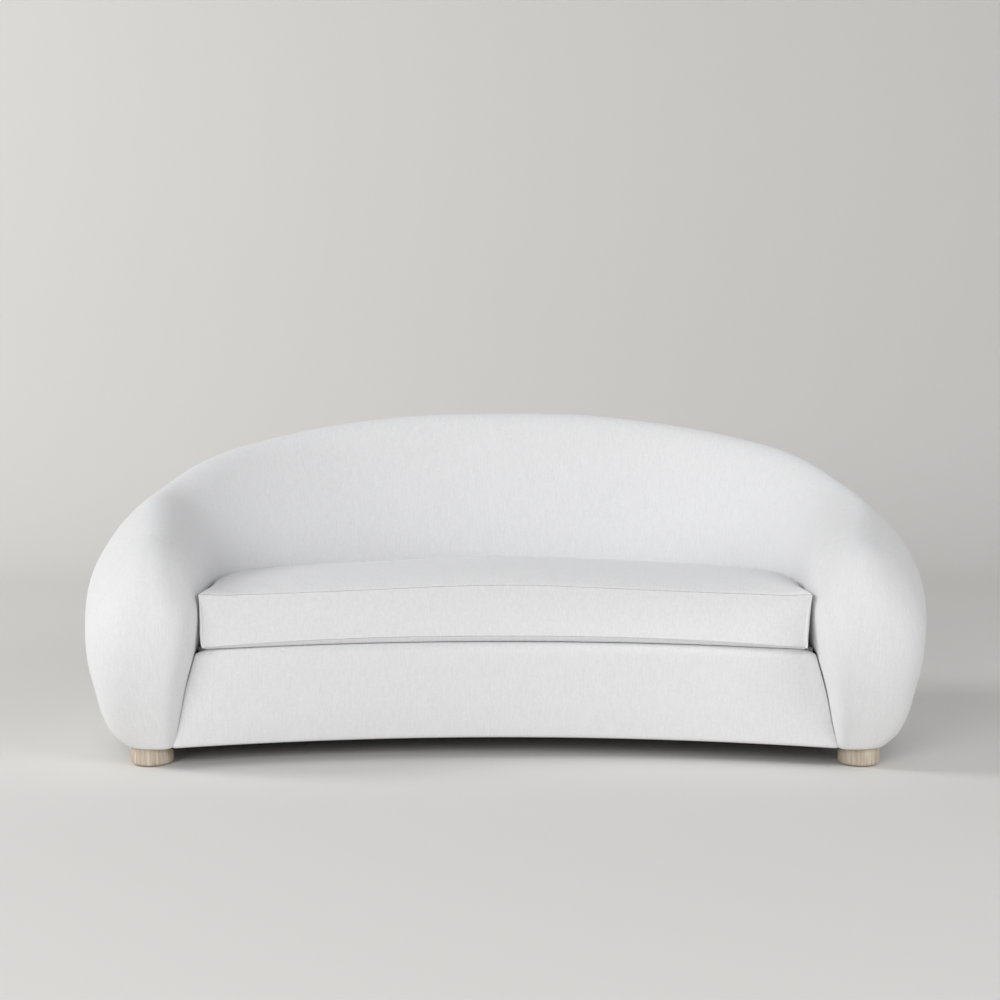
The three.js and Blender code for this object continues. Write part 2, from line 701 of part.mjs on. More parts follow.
function shellCover() {
  const underside = shell(UNDERSIDE_INSET, CLEARANCE - OVERRUN).intersect(slab(0, FRAME_BOTTOM));
  add("shell_cover", cutAll(skin, [underside, well]), COVER_CLOTH);
}

function shellFoam() {
  const slip = (GAP / 2) * PLACE_PER_MM;
  const [corner, arm] = FOAM_JOINT_STEPS.map((step) => step / BACK_STEPS);
  const pieces = [
    ["arm_foam_left", -PAW_TIP_SHARE, -arm - slip],
    ["back_foam_left", -arm + slip, -corner - slip],
    ["back_foam_middle", -corner + slip, corner - slip],
    ["back_foam_right", corner + slip, arm - slip],
    ["arm_foam_right", arm + slip, PAW_TIP_SHARE],
  ];
  for (const [name, from, to] of pieces) {
    const block = shell(COVER + GAP, CLEARANCE + COVER + GAP, from, to);
    add(name, cutAll(block, [cavity, well, skin]), FOAM);
  }
}

// Front border: outline seen from the front, with round top corners
function borderOutline() {
  const points = [new THREE.Vector2(BORDER_REACH, -OVERRUN)];
  const centre = new THREE.Vector2(BORDER_TOP_HALF - BORDER_CORNER, DECK - BORDER_CORNER);
  for (let i = 0; i <= CORNER_STEPS; i += 1) {
    const angle = (i / CORNER_STEPS) * (Math.PI / 2);
    const arc = new THREE.Vector2(Math.cos(angle), Math.sin(angle)).multiplyScalar(BORDER_CORNER);
    points.push(arc.add(centre));
  }
  const left = points.map((point) => new THREE.Vector2(-point.x, point.y)).reverse();
  return [...points, ...left];
}

function borderWindow() {
  const shape = new THREE.Shape(borderOutline());
  const geometry = new THREE.ExtrudeGeometry(shape, { depth: 2 * DEPTH, bevelEnabled: false });
  geometry.rotateX(Math.PI / 2);
  return solidOf(geometry.translate(0, DEPTH, 0));
}

// Sweeps a profile of depth behind the front line, and height, from side to side
function borderSweep(profile) {
  const rings = BORDER_XS.map((x) => (
    profile.map(([depth, z]) => new THREE.Vector3(x, borderCurve(x) + depth, z))
  ));
  return loft(rings, profile);
}

function roundedEdge(inset) {
  const points = [];
  const radius = BORDER_EDGE - inset;
  for (let i = 0; i <= ARC_STEPS; i += 1) {
    const angle = (i / ARC_STEPS) * (Math.PI / 2);
    points.push([BORDER_EDGE - radius * Math.cos(angle), DECK - BORDER_EDGE + radius * Math.sin(angle)]);
  }
  return points;
}

function frontBorder() {
  const window = borderWindow();
  const lip = BORDER_PAD + RAIL;
  const foamOut = COVER + GAP;
  const foamTop = WEB_BOTTOM + WEB + GAP;
  const railFace = BORDER_PAD - GAP;
  const foam = [
    [foamOut, FRAME_BOTTOM], ...roundedEdge(foamOut), [lip, DECK - foamOut],
    [lip, foamTop], [railFace, foamTop], [railFace, FRAME_BOTTOM],
  ];
  const cover = [
    [BORDER_FLANGE, CLEARANCE], [0, CLEARANCE], ...roundedEdge(0), [lip, DECK],
    [lip, DECK - COVER], ...roundedEdge(COVER).reverse(), [COVER, CLEARANCE + COVER],
    [BORDER_FLANGE, CLEARANCE + COVER],
  ];
  const fit = (profile) => borderSweep(profile).intersect(window).subtract(shellGrown);
  add("front_border_foam", fit(foam), FOAM);
  add("front_border_cover", fit(cover), COVER_CLOTH);
}

// Deck under the cushion
function deck() {
  const plan = seatPlan(PAD - GAP, BORDER_PAD + RAIL + GAP);
  add("deck_pad", prism(plan, PAD_BOTTOM, PAD_BOTTOM + DECK_PAD), FOAM);
  add("deck_cloth", prism(plan, CLOTH_BOTTOM, DECK), COVER_CLOTH);
}

// Cloth under the frame, with a hole for each foot's bolt
function dustCover() {
  const outer = PLACES.map((place) => sectionRing(place, DUST_COVER_INSET, CLEARANCE).at(-1));
  const front = frontPoints(BORDER_HALF, BORDER_FLANGE / 2);
  const plan = [...outer, ...front].map((point) => new THREE.Vector2(point.x, point.y));
  const holes = boltHoles(DUST_BOTTOM - OVERRUN, DUST_TOP + OVERRUN, BOLT_RADIUS + GAP);
  add("dust_cover", cutAll(prism(plan, DUST_BOTTOM, DUST_TOP), holes), DUST_CLOTH);
}

// Turned feet with their bolts and glides
function footProfile() {
  const points = [new THREE.Vector2(0, FOOT_LIFT)];
  for (let i = 0; i <= ARC_STEPS; i += 1) {
    const angle = (i / ARC_STEPS) * (Math.PI / 2);
    const out = FOOT_RADIUS - FOOT_ROUND * (1 - Math.sin(angle));
    points.push(new THREE.Vector2(out, FOOT_LIFT + FOOT_ROUND * (1 - Math.cos(angle))));
  }
  points.push(new THREE.Vector2(FOOT_RADIUS, FOOT_TOP - FOOT_TOP_ROUND));
  points.push(new THREE.Vector2(FOOT_RADIUS - FOOT_TOP_ROUND, FOOT_TOP));
  points.push(new THREE.Vector2(0, FOOT_TOP));
  return points;
}

function feet() {
  const turned = new THREE.LatheGeometry(footProfile(), FOOT_SIDES).rotateX(Math.PI / 2);
  for (const [end, point] of feetPlaces) {
    for (const [side, sign] of SIDES) {
      const x = sign * point.x;
      const wood = solidOf(turned.clone().translate(x, point.y, 0));
      const recess = post(x, point.y, GLIDE_RADIUS + GAP, -OVERRUN, GLIDE + GAP, FOOT_SIDES);
      const boltLow = FOOT_TOP - BOLT_IN_FOOT;
      const hole = post(x, point.y, BOLT_RADIUS + GAP, boltLow - GAP, FOOT_TOP + OVERRUN, ROUND_SIDES);
      const boltHigh = BOARD_TOP + GAP + BLOCK_HEIGHT;
      const bolt = post(x, point.y, BOLT_RADIUS, boltLow, boltHigh, ROUND_SIDES);
      add(`foot_${end}_${side}`, cutAll(wood, [recess, hole]), WASHED_OAK);
      add(`foot_bolt_${end}_${side}`, bolt, ZINC);
      add(`glide_${end}_${side}`, post(x, point.y, GLIDE_RADIUS, 0, GLIDE, FOOT_SIDES), FELT);
    }
  }
}

// Seat cushion: plan outline between the walls, with sharp front corners
function innermostWall(place) {
  const { point, outward } = spineFrame(Math.min(place, ARM_FRONT_SHARE));
  const ring = sectionRing(place, 0, CLEARANCE);
  const above = ring.filter((p, k) => k < ring.length / 2 && p.z >= DECK);
  const across = (p) => (p.x - point.x) * outward.x + (p.y - point.y) * outward.y;
  const inner = above.reduce((best, p) => (across(p) < across(best) ? p : best), wallPoint(place, 0));
  return new THREE.Vector2(inner.x, inner.y).addScaledVector(outward, -CUSHION_GAP);
}

function cushionRight() {
  const points = [];
  let last = innermostWall(0);
  for (const place of RIGHT_PLACES) {
    const point = innermostWall(place);
    if (point.y < BORDER_FRONT_Y) {
      const corner = last.clone().lerp(point, (last.y - BORDER_FRONT_Y) / (last.y - point.y));
      return [...points.filter((p) => p.y > corner.y + CORNER_CLEAR), corner];
    }
    points.push(point);
    last = point;
  }
  return points;
}

// Circle through the cushion's back at its middle and at both ends of the zip
function zipCircle(points) {
  const after = points.findIndex((point) => point.x > ZIP_HALF);
  const low = points[after - 1];
  const high = points[after];
  const endY = THREE.MathUtils.mapLinear(ZIP_HALF, low.x, high.x, low.y, high.y);
  const middleY = innermostWall(0).y;
  const sag = middleY - endY;
  const radius = (ZIP_HALF ** 2 + sag ** 2) / (2 * sag);
  return { radius, centreY: middleY - ZIP_ROOM - radius };
}

const cushionSide = cushionRight();
const zip = zipCircle(cushionSide);
const zipSweep = Math.asin(ZIP_HALF / zip.radius);
const cushionCorner = cushionSide.at(-1);
const cushionBackY = zip.centreY + zip.radius;
const cushionCentreY = THREE.MathUtils.lerp(BORDER_FRONT_Y, cushionBackY, CUSHION_CENTRE_SHARE);

function cushionOutline() {
  const arc = [];
  for (let i = 1; i <= ZIP_STEPS / 2; i += 1) {
    const angle = (i / ZIP_STEPS) * 2 * zipSweep;
    arc.push(new THREE.Vector2(zip.radius * Math.sin(angle), zip.centreY + zip.radius * Math.cos(angle)));
  }
  const right = [...arc, ...cushionSide.filter((point) => point.x > ZIP_HALF + CORNER_CLEAR)];
  const left = right.map((point) => new THREE.Vector2(-point.x, point.y)).reverse();
  const middle = new THREE.Vector2(0, zip.centreY + zip.radius);
  const front = [];
  for (let i = 1; i < BORDER_STEPS; i += 1) {
    const x = THREE.MathUtils.lerp(-cushionCorner.x, cushionCorner.x, i / BORDER_STEPS);
    const y = BORDER_FRONT_Y + BORDER_SAG * (1 - (x / cushionCorner.x) ** 2);
    front.push(new THREE.Vector2(x, y));
  }
  return [...front, ...[...right].reverse(), middle, ...[...left].reverse()];
}

// Moves a closed outline inwards
function drawIn(outline, distance) {
  const count = outline.length;
  return outline.map((point, i) => {
    const before = outline[(i + count - 1) % count];
    const after = outline[(i + 1) % count];
    const first = point.clone().sub(before).normalize();
    const second = after.clone().sub(point).normalize();
    const inward = new THREE.Vector2(-first.y - second.y, first.x + second.x).normalize();
    const lean = inward.x * -first.y + inward.y * first.x;
    return point.clone().addScaledVector(inward, distance / lean);
  });
}

// Draws an outline towards the cushion's middle, by the same distance from the sides, front and back
function towardsMiddle(outline, distance) {
  const halfDepth = cushionBackY - cushionCentreY;
  return outline.map((point) => new THREE.Vector2(
    point.x * (1 - distance / cushionCorner.x),
    cushionCentreY + (point.y - cushionCentreY) * (1 - distance / halfDepth),
  ));
}

function seamRise(x) {
  return SEAM_RISE * (1 - Math.min(1, (x / cushionCorner.x) ** 2));
}

function cushionSolid(inset, crownLines) {
  const outline = cushionOutline();
  const seamLine = drawIn(outline, BULGE + inset);
  const boxing = drawIn(outline, inset);
  const bottom = DECK + GAP + inset;
  const highSeam = DECK + UPPER_SEAM - inset;
  const level = (line, z) => line.map((point) => new THREE.Vector3(point.x, point.y, z));
  const raised = (line, rise) => line.map((point) => (
    new THREE.Vector3(point.x, point.y, highSeam + seamRise(point.x) + rise)
  ));
  const underside = towardsMiddle(seamLine, UNDERSIDE_IN);
  const rings = [
    level(underside, bottom),
    level(seamLine, DECK + LOWER_SEAM + inset / 2),
    level(boxing, ZIP_HEIGHT - FLAT_BOXING),
    level(boxing, ZIP_HEIGHT + FLAT_BOXING),
    raised(seamLine, 0),
  ];
  crownLines.forEach((i) => {
    rings.push(raised(towardsMiddle(seamLine, CROWN_INSETS[i]), CROWN * CROWN_RISE_SHARES[i]));
  });
  const middle = (z) => new THREE.Vector3(0, cushionCentreY, z);
  return dome(rings, middle(bottom), middle(highSeam + SEAM_RISE + CROWN));
}

// Sweeps a profile of radius and height, both measured from the zip's line, along its arc
function zipSweepSolid(profile, from, to, steps) {
  const rings = [];
  for (let i = 0; i <= steps; i += 1) {
    const angle = THREE.MathUtils.lerp(from, to, i / steps);
    rings.push(profile.map(([out, up]) => {
      const radius = zip.radius + out;
      const y = zip.centreY + radius * Math.cos(angle);
      return new THREE.Vector3(radius * Math.sin(angle), y, ZIP_HEIGHT + up);
    }));
  }
  return loft(rings, profile);
}

function rectangle(low, high, halfHeight) {
  return [[low, -halfHeight], [high, -halfHeight], [high, halfHeight], [low, halfHeight]];
}

function seatCushion() {
  const wrapIn = CUSHION_COVER + GAP;
  const coreIn = wrapIn + WRAP + GAP;
  const slotHalf = ZIP_CHAIN / 2 + GAP;
  const slot = rectangle(-wrapIn - OVERRUN, OVERRUN, slotHalf);
  const opened = rectangle(-coreIn, OVERRUN, ZIP_TAPE_WIDTH / 2 + OVERRUN);
  const allLines = [...CROWN_INSETS.keys()];
  const oneLine = allLines.slice(1, 2);
  const cover = cushionSolid(0, allLines).subtract(cushionSolid(CUSHION_COVER, allLines));
  const wrap = cushionSolid(wrapIn, oneLine).subtract(cushionSolid(wrapIn + WRAP, oneLine));
  const slotCut = zipSweepSolid(slot, -zipSweep, zipSweep, ZIP_STEPS);
  const backCut = zipSweepSolid(opened, -zipSweep, zipSweep, ZIP_STEPS);
  add("cushion_cover", cover.subtract(slotCut), COVER_CLOTH);
  add("cushion_wrap", wrap.subtract(backCut), FIBRE);
  add("cushion_core", cushionSolid(coreIn, oneLine), FOAM);
}

function zipPieces() {
  const chain = ZIP_CHAIN / 2;
  const tape = ZIP_TAPE_WIDTH / 2;
  const tapeOut = -CUSHION_COVER - 2 * GAP - ZIP_CHAIN_PROUD;
  const profile = [
    [tapeOut - ZIP_TAPE, -tape], [tapeOut, -tape], [tapeOut, -chain], [ZIP_CHAIN_PROUD, -chain],
    [ZIP_CHAIN_PROUD, chain], [tapeOut, chain], [tapeOut, tape], [tapeOut - ZIP_TAPE, tape],
  ];
  const end = zipSweep - GAP / zip.radius;
  add("zip_tape", zipSweepSolid(profile, -end, end, ZIP_STEPS), NYLON);
  const parked = end - SLIDER_LENGTH / 2 / zip.radius;
  const halfSpan = SLIDER_LENGTH / 2 / zip.radius;
  const sliderLow = ZIP_CHAIN_PROUD + GAP;
  const sliderHigh = sliderLow + SLIDER;
  const body = rectangle(sliderLow, sliderHigh, SLIDER_WIDTH / 2);
  const pinOut = sliderHigh + GAP + PULL + GAP;
  const pin = sliderPin(parked, sliderHigh - GAP, pinOut, PULL_PIN_RADIUS);
  add("zip_slider", zipSweepSolid(body, parked - halfSpan, parked + halfSpan, 1).add(pin), ZINC);
  const half = PULL_WIDTH / 2 / zip.radius;
  const low = sliderHigh + GAP;
  const high = low + PULL;
  const top = PULL_WIDTH / 2;
  const plate = [[low, -PULL_LENGTH], [high, -PULL_LENGTH], [high, top], [low, top]];
  const pull = zipSweepSolid(plate, parked - half, parked + half, 1);
  const hole = sliderPin(parked, sliderLow, high + OVERRUN, PULL_PIN_RADIUS + GAP);
  add("zip_pull", pull.subtract(hole), ZINC);
}

// Pin on the slider's face, pointing away from the cushion
function sliderPin(angle, from, to, radius) {
  const geometry = new THREE.CylinderGeometry(radius, radius, to - from, ROUND_SIDES);
  geometry.translate(0, zip.radius + (from + to) / 2, 0).rotateZ(-angle);
  return solidOf(geometry.translate(0, zip.centreY, ZIP_HEIGHT));
}

baseBoards();
ribs();
add("top_rail", topRailSolid(0, 0).intersect(frame), BIRCH_PLY);
seatRails();
frontRail();
stretchers();
footBlocks();
webbing();
shellCover();
shellFoam();
frontBorder();
deck();
dustCover();
feet();
seatCushion();
zipPieces();

export default sofa;
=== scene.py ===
# %% [markdown]
# # Dressing a curved sofa
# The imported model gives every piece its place. This notebook puts the upholstery, the turned feet and
# the zip over it, gives each its material and lights the sofa plainly. Lengths are in metres, +X is to
# the right of someone who faces the sofa, +Y is its back, and the origin is on the floor under it.

# %% Load the frame
import math

import bpy
import numpy as np
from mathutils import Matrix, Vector
from mathutils.geometry import delaunay_2d_cdt


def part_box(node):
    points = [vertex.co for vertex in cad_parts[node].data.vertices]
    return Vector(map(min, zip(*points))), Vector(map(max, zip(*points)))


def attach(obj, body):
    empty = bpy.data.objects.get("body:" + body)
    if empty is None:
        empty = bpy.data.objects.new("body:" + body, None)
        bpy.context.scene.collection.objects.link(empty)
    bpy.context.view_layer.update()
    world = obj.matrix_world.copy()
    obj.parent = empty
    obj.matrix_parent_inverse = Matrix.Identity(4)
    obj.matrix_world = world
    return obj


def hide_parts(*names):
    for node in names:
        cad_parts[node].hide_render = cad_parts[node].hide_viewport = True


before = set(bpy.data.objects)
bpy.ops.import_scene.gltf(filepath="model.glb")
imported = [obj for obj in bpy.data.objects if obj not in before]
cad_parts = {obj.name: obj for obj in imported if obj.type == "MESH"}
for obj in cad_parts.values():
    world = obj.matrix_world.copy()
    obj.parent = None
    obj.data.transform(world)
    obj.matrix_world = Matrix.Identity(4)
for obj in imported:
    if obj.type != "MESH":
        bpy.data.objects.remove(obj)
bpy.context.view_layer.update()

# %% [markdown]
# ## The camera
# The sofa was seen square on, from just above its back, with a lens a little longer than normal. The
# camera comes first, so that every piece can be looked at from there as it is made.

# %% Camera
IMAGE_SIZE = 1000  # pixels, square
FOCAL_PIXELS = 1585
SENSOR = 36.0  # millimetres
CAMERA_PLACE = Vector((0.0, -4.10, 0.90))
CAMERA_PITCH = math.radians(4.03)  # downwards
MIDDLE_PIXEL = 505.5

camera = bpy.data.cameras.new("camera")
camera.sensor_width = SENSOR
camera.lens = FOCAL_PIXELS / IMAGE_SIZE * SENSOR
camera.shift_x = (IMAGE_SIZE / 2 - MIDDLE_PIXEL) / IMAGE_SIZE
camera_object = bpy.data.objects.new("camera", camera)
camera_object.location = CAMERA_PLACE
camera_object.rotation_euler = (math.pi / 2 - CAMERA_PITCH, 0.0, 0.0)
bpy.context.scene.collection.objects.link(camera_object)
bpy.context.scene.camera = camera_object
print("lens", round(camera.lens, 1), "mm")

# %% [markdown]
# ## Colours and nodes
# A colour is written as the sRGB hex value that the eye reads off a sample, and one function turns it
# into the linear value that the shader wants. One small function adds a node, sets it and links it, and
# a few more put it to its usual uses, so that a material reads as a short list of what happens to it.


# %% Colour and node helpers
def colour(hex_value):
    """Linear colour of an sRGB hex value such as "E6E4E1"."""
    channels = [int(hex_value[i:i + 2], 16) / 255 for i in (0, 2, 4)]
    linear = [c / 12.92 if c <= 0.04045 else ((c + 0.055) / 1.055) ** 2.4 for c in channels]
    return (*linear, 1.0)


def add_node(tree, kind, settings=None, **inputs):
    """Adds a node: settings are properties; inputs are values or links, by socket name or number."""
    node = tree.nodes.new(kind)
    for name, value in (settings or {}).items():
        setattr(node, name, value)
    for name, value in inputs.items():
        key = int(name[1:]) if name[0] == "_" else name.replace("_", " ")
        socket = node.inputs[key]
        if isinstance(value, bpy.types.NodeSocket):
            tree.links.new(value, socket)
        else:
            socket.default_value = value
    return node


def calc(tree, operation, *values, kind="ShaderNodeMath"):
    """What a math node makes of its values."""
    numbered = {f"_{k}": value for k, value in enumerate(values)}
    return add_node(tree, kind, {"operation": operation}, **numbered).outputs[0]


def noise(tree, place, shares, **settings):
    """Noise at a place that is multiplied by a share along each axis."""
    stretched = calc(tree, "MULTIPLY", place, shares, kind="ShaderNodeVectorMath")
    settings = {"Scale": 1.0, **settings}
    return add_node(tree, "ShaderNodeTexNoise", Vector=stretched, **settings).outputs["Fac"]


def spread(tree, value, **ends):
    return add_node(tree, "ShaderNodeMapRange", Value=value, **ends).outputs[0]


def new_material(name, **shader_values):
    """A material with a principled shader whose even values are set on its own sockets."""
    material = bpy.data.materials.new(name)
    material.use_nodes = True
    tree = material.node_tree
    shader = tree.nodes["Principled BSDF"]
    for socket, value in shader_values.items():
        shader.inputs[socket.replace("_", " ")].default_value = value
    return material, tree, shader


def paint(tree, shader, tone, dark, light, height, strength, distance):
    """Two colours mixed by tone, and relief from height."""
    mixed = add_node(
        tree, "ShaderNodeMix", {"data_type": "RGBA"}, _0=tone, _6=colour(dark), _7=colour(light))
    bump = add_node(tree, "ShaderNodeBump", Strength=strength, Distance=distance, Height=height)
    tree.links.new(mixed.outputs[2], shader.inputs["Base Color"])
    tree.links.new(bump.outputs[0], shader.inputs["Normal"])


print("white cloth is", [round(c, 3) for c in colour("E6E4E1")])

# %% [markdown]
# ## The cover cloth
# The sofa is covered in a thick, matt, off-white cloth with a slubbed yarn: little nubs all over and
# longer, thicker stretches of yarn that run up and down. The pattern follows each panel through an
# attribute called weave, in millimetres along the panel, up it and across it, so it turns with the
# panel's grain and doesn't mirror at the front of an arm. The real threads are about 1 mm apart, too
# fine to show from here, so they are drawn 2.6 mm apart.

# %% Cloth material
THREAD = 2.6  # millimetres, drawn coarse so that it shows
THREAD_SHARE = 0.16  # of the relief, next to slubs and nubs
SLUB_SIZES = (4.0, 34.0, 16.0)  # along the panel, up it and across it
NUB_SIZES = (5.0, 7.5, 10.0)


def cloth_material(name, light, dark, thread=THREAD, relief=0.9):
    """Woven wool and cotton cloth: matt, with a soft sheen from its loose fibres."""
    material, tree, shader = new_material(
        name, Roughness=0.92, Sheen_Weight=0.18, Sheen_Roughness=0.6, Specular_IOR_Level=0.25)
    weave = add_node(tree, "ShaderNodeAttribute", {"attribute_name": "weave"}).outputs["Vector"]
    axes = add_node(tree, "ShaderNodeSeparateXYZ", Vector=weave).outputs
    slubs = noise(tree, weave, [1 / size for size in SLUB_SIZES], Detail=3.0, Roughness=0.6)
    nubs = noise(tree, weave, [1 / size for size in NUB_SIZES], Detail=4.0, Roughness=0.65)
    warp, weft = (
        calc(tree, "SINE", calc(tree, "MULTIPLY", axis, 2 * math.pi / thread)) for axis in axes[:2])
    threads = calc(tree, "MULTIPLY", calc(tree, "MULTIPLY", warp, weft), THREAD_SHARE)
    height = calc(tree, "ADD", calc(tree, "ADD", threads, nubs), slubs)
    tone = spread(tree, height, From_Min=0.72, From_Max=1.28)
    paint(tree, shader, tone, dark, light, height, strength=0.55, distance=relief * 0.001)
    return material


COVER_CLOTH = cloth_material("slubbed_wool_cloth", "EDEDEE", "E4E4E5")
print("cloth threads every", THREAD, "mm")

# %% [markdown]
# ## The line that the shell follows
# Back and arms are one padded shell. It follows a line on the floor, the spine: a squared ellipse from
# the middle of the back to the widest point, then an arm that leans in a little, then the rounded front
# of the arm. A place on it is a number: 0 is the middle of the back, 1 the widest point, 2 where an
# arm's rounded front begins and about 3 its tip, with a minus sign on the left. Writing the form as a
# rule keeps it smooth and lets every other piece ask where the shell's wall is.

# %% Spine of the shell
WIDTH, DEPTH, HEIGHT = 2.130, 1.030, 0.830
CLEARANCE = 0.047  # floor to the cover's underside
DECK = 0.280  # floor to the deck under the cushion
ARM_THICKNESS, BACK_THICKNESS, PAW_THICKNESS = 0.330, 0.240, 0.300
WIDEST_Y = -0.090
TOE_IN = 0.050
PAW_LENGTH = 0.180
SPINE_POWER = 2.15


def smooth_between(low, high, value):
    share = np.clip((value - low) / (high - low), 0.0, 1.0)
    return share * share * (3.0 - 2.0 * share)


def spine_at(place):
    """Points of the spine's right half at an array of places from 0 to 2."""
    arm_x = (WIDTH - ARM_THICKNESS) / 2
    back_y = (DEPTH - BACK_THICKNESS) / 2
    angle = np.clip(place, 0.0, 1.0) * math.pi / 2
    x = arm_x * np.sin(angle) ** (2 / SPINE_POWER)
    y = WIDEST_Y + (back_y - WIDEST_Y) * np.clip(np.cos(angle), 0.0, 1.0) ** (2 / SPINE_POWER)
    arm = place > 1
    x = np.where(arm, arm_x - TOE_IN * smooth_between(1, 2, place), x)
    y = np.where(arm, WIDEST_Y + (-DEPTH / 2 + PAW_LENGTH - WIDEST_Y) * (place - 1), y)
    return np.stack([x, y], axis=-1)


def spine_frame(place):
    """Point, direction of travel and outward direction at each place."""
    step = 0.001
    travel = spine_at(np.minimum(2.0, place + step)) - spine_at(np.maximum(0.0, place - step))
    travel /= np.linalg.norm(travel, axis=-1, keepdims=True)
    travel[place == 0] = (1.0, 0.0)
    outward = np.stack([-travel[..., 1], travel[..., 0]], axis=-1)
    return spine_at(place), travel, outward


print("spine ends at", spine_at(np.array([0.0, 1.0, 2.0])).round(3).tolist())

# %% [markdown]
# ## The shell's cross-sections
# Across the spine the shell has a section that changes on its way: a back that leans away from the
# sitter, a fat arm with its crest outwards, and an undercut front. Each is a table of shares of the
# thickness and the height, from the inner bottom edge over the crest to the outer bottom edge, and a
# smooth curve runs through its points.

# %% Sections of the shell
BACK_SHARES = [
    (-1.02, 0), (-1.03, 0.12), (-1.02, 0.25), (-1.0, 0.36), (-0.9, 0.52), (-0.74, 0.68),
    (-0.52, 0.83), (-0.24, 0.95), (0.1, 1.0), (0.44, 0.965), (0.74, 0.87), (0.94, 0.72),
    (1.0, 0.54), (0.97, 0.36), (0.9, 0.2), (0.79, 0.08), (0.62, 0)]
ARM_SHARES = [
    (-0.66, 0), (-0.8, 0.12), (-0.93, 0.27), (-1.0, 0.42), (-0.99, 0.58), (-0.9, 0.74),
    (-0.66, 0.88), (-0.33, 0.97), (0.0, 1.0), (0.325, 0.92), (0.635, 0.8), (0.88, 0.675),
    (0.95, 0.54), (0.95, 0.36), (0.84, 0.2), (0.66, 0.075), (0.36, 0)]
PAW_SHARES = [
    (-0.44, 0), (-0.515, 0.11), (-0.595, 0.25), (-0.735, 0.42), (-0.82, 0.58), (-0.79, 0.74),
    (-0.6, 0.88), (-0.3, 0.97), (0.02, 1.0), (0.35, 0.918), (0.67, 0.785), (0.895, 0.66),
    (0.97, 0.53), (0.92, 0.36), (0.80, 0.19), (0.64, 0.075), (0.38, 0)]
CREST_WIDEST = 0.340
CREST_HALF = 1.0725
CREST_POWER = 2.28
ARM_DROP, DROP_FROM_Y, DROP_POWER = 0.068, 0.25, 2.3  # the crest sinks on its way forward
PAW_TOP_SLOPE = 0.25  # an arm's top goes on falling as it rounds over into the front
OUTER_FILL, FILL_PLACE, FILL_WIDTH = 0.011, 1.76, 0.36  # keeps an arm's outside full up to its front
SHOULDERS = [(0.012, 0.166, 0.11), (0.006, -0.04, 0.13)]  # fuller crest: how much, at which y, how wide
PAW_TURN = 1.5
PAW_INNER_POWER, PAW_OUTER_POWER, PAW_REACH_POWER = 0.56, 0.82, 0.80  # the lower, the blunter
PAW_DROP_SHARE, PAW_CENTRE_SHARE, PAW_CREST_SHARE = 0.12, -0.2, -0.01
PAW_UNDERCUT, UNDERCUT_TOP_SHARE = 0.110, 0.75
DOME_FROM, DOME_POWER, CREST_REACH = 0.30, 1.95, 0.9996  # how an arm's front rounds over into its top
LAST_SHARE = len(BACK_SHARES) - 1
CREST = LAST_SHARE / 2


def mix(a, b, share):
    return a + (b - a) * share


def valley(distance, width):
    """1 at no distance, falling smoothly to nothing past about twice the width."""
    return np.exp(-(distance / width) ** 2)


def crest_at(place):
    reach = np.minimum(1.0, spine_at(np.minimum(place, 1.0))[..., 0] / CREST_HALF)
    arch = (1 - reach ** CREST_POWER) ** (1 / CREST_POWER)
    y = spine_at(np.minimum(place, 2.0))[..., 1]
    stuffed = sum(more * valley(y - at, width) for more, at, width in SHOULDERS)
    end_y = -DEPTH / 2 + PAW_LENGTH
    drop = ARM_DROP * np.clip((DROP_FROM_Y - y) / (DROP_FROM_Y - end_y), 0.0, 1.0) ** DROP_POWER
    return CREST_WIDEST + (HEIGHT - CREST_WIDEST) * arch - drop + stuffed


def section_shares(place, along):
    """Shares at each place (rows) and each number along the section (columns), on a smooth curve."""
    to_arm = smooth_between(0.3, 1.0, place)[:, None, None]
    to_paw = smooth_between(1.0, 2.0, place)[:, None, None]
    back, arm, paw = (np.array(t)[None] for t in (BACK_SHARES, ARM_SHARES, PAW_SHARES))
    table = mix(mix(back, arm, to_arm), paw, to_paw)
    first = 2 * table[:, :1] - table[:, 1:2]
    last = 2 * table[:, -1:] - table[:, -2:-1]
    table = np.concatenate([first, table, last], axis=1)
    i = np.clip(np.floor(along).astype(int), 0, LAST_SHARE - 1)
    f = (along - i)[None, :, None]
    p0, p1, p2, p3 = (table[:, i + k] for k in range(4))
    return 0.5 * (2 * p1 + (p2 - p0) * f + (2 * p0 - 5 * p1 + 4 * p2 - p3) * f ** 2
                  + (3 * p1 - p0 - 3 * p2 + p3) * f ** 3)


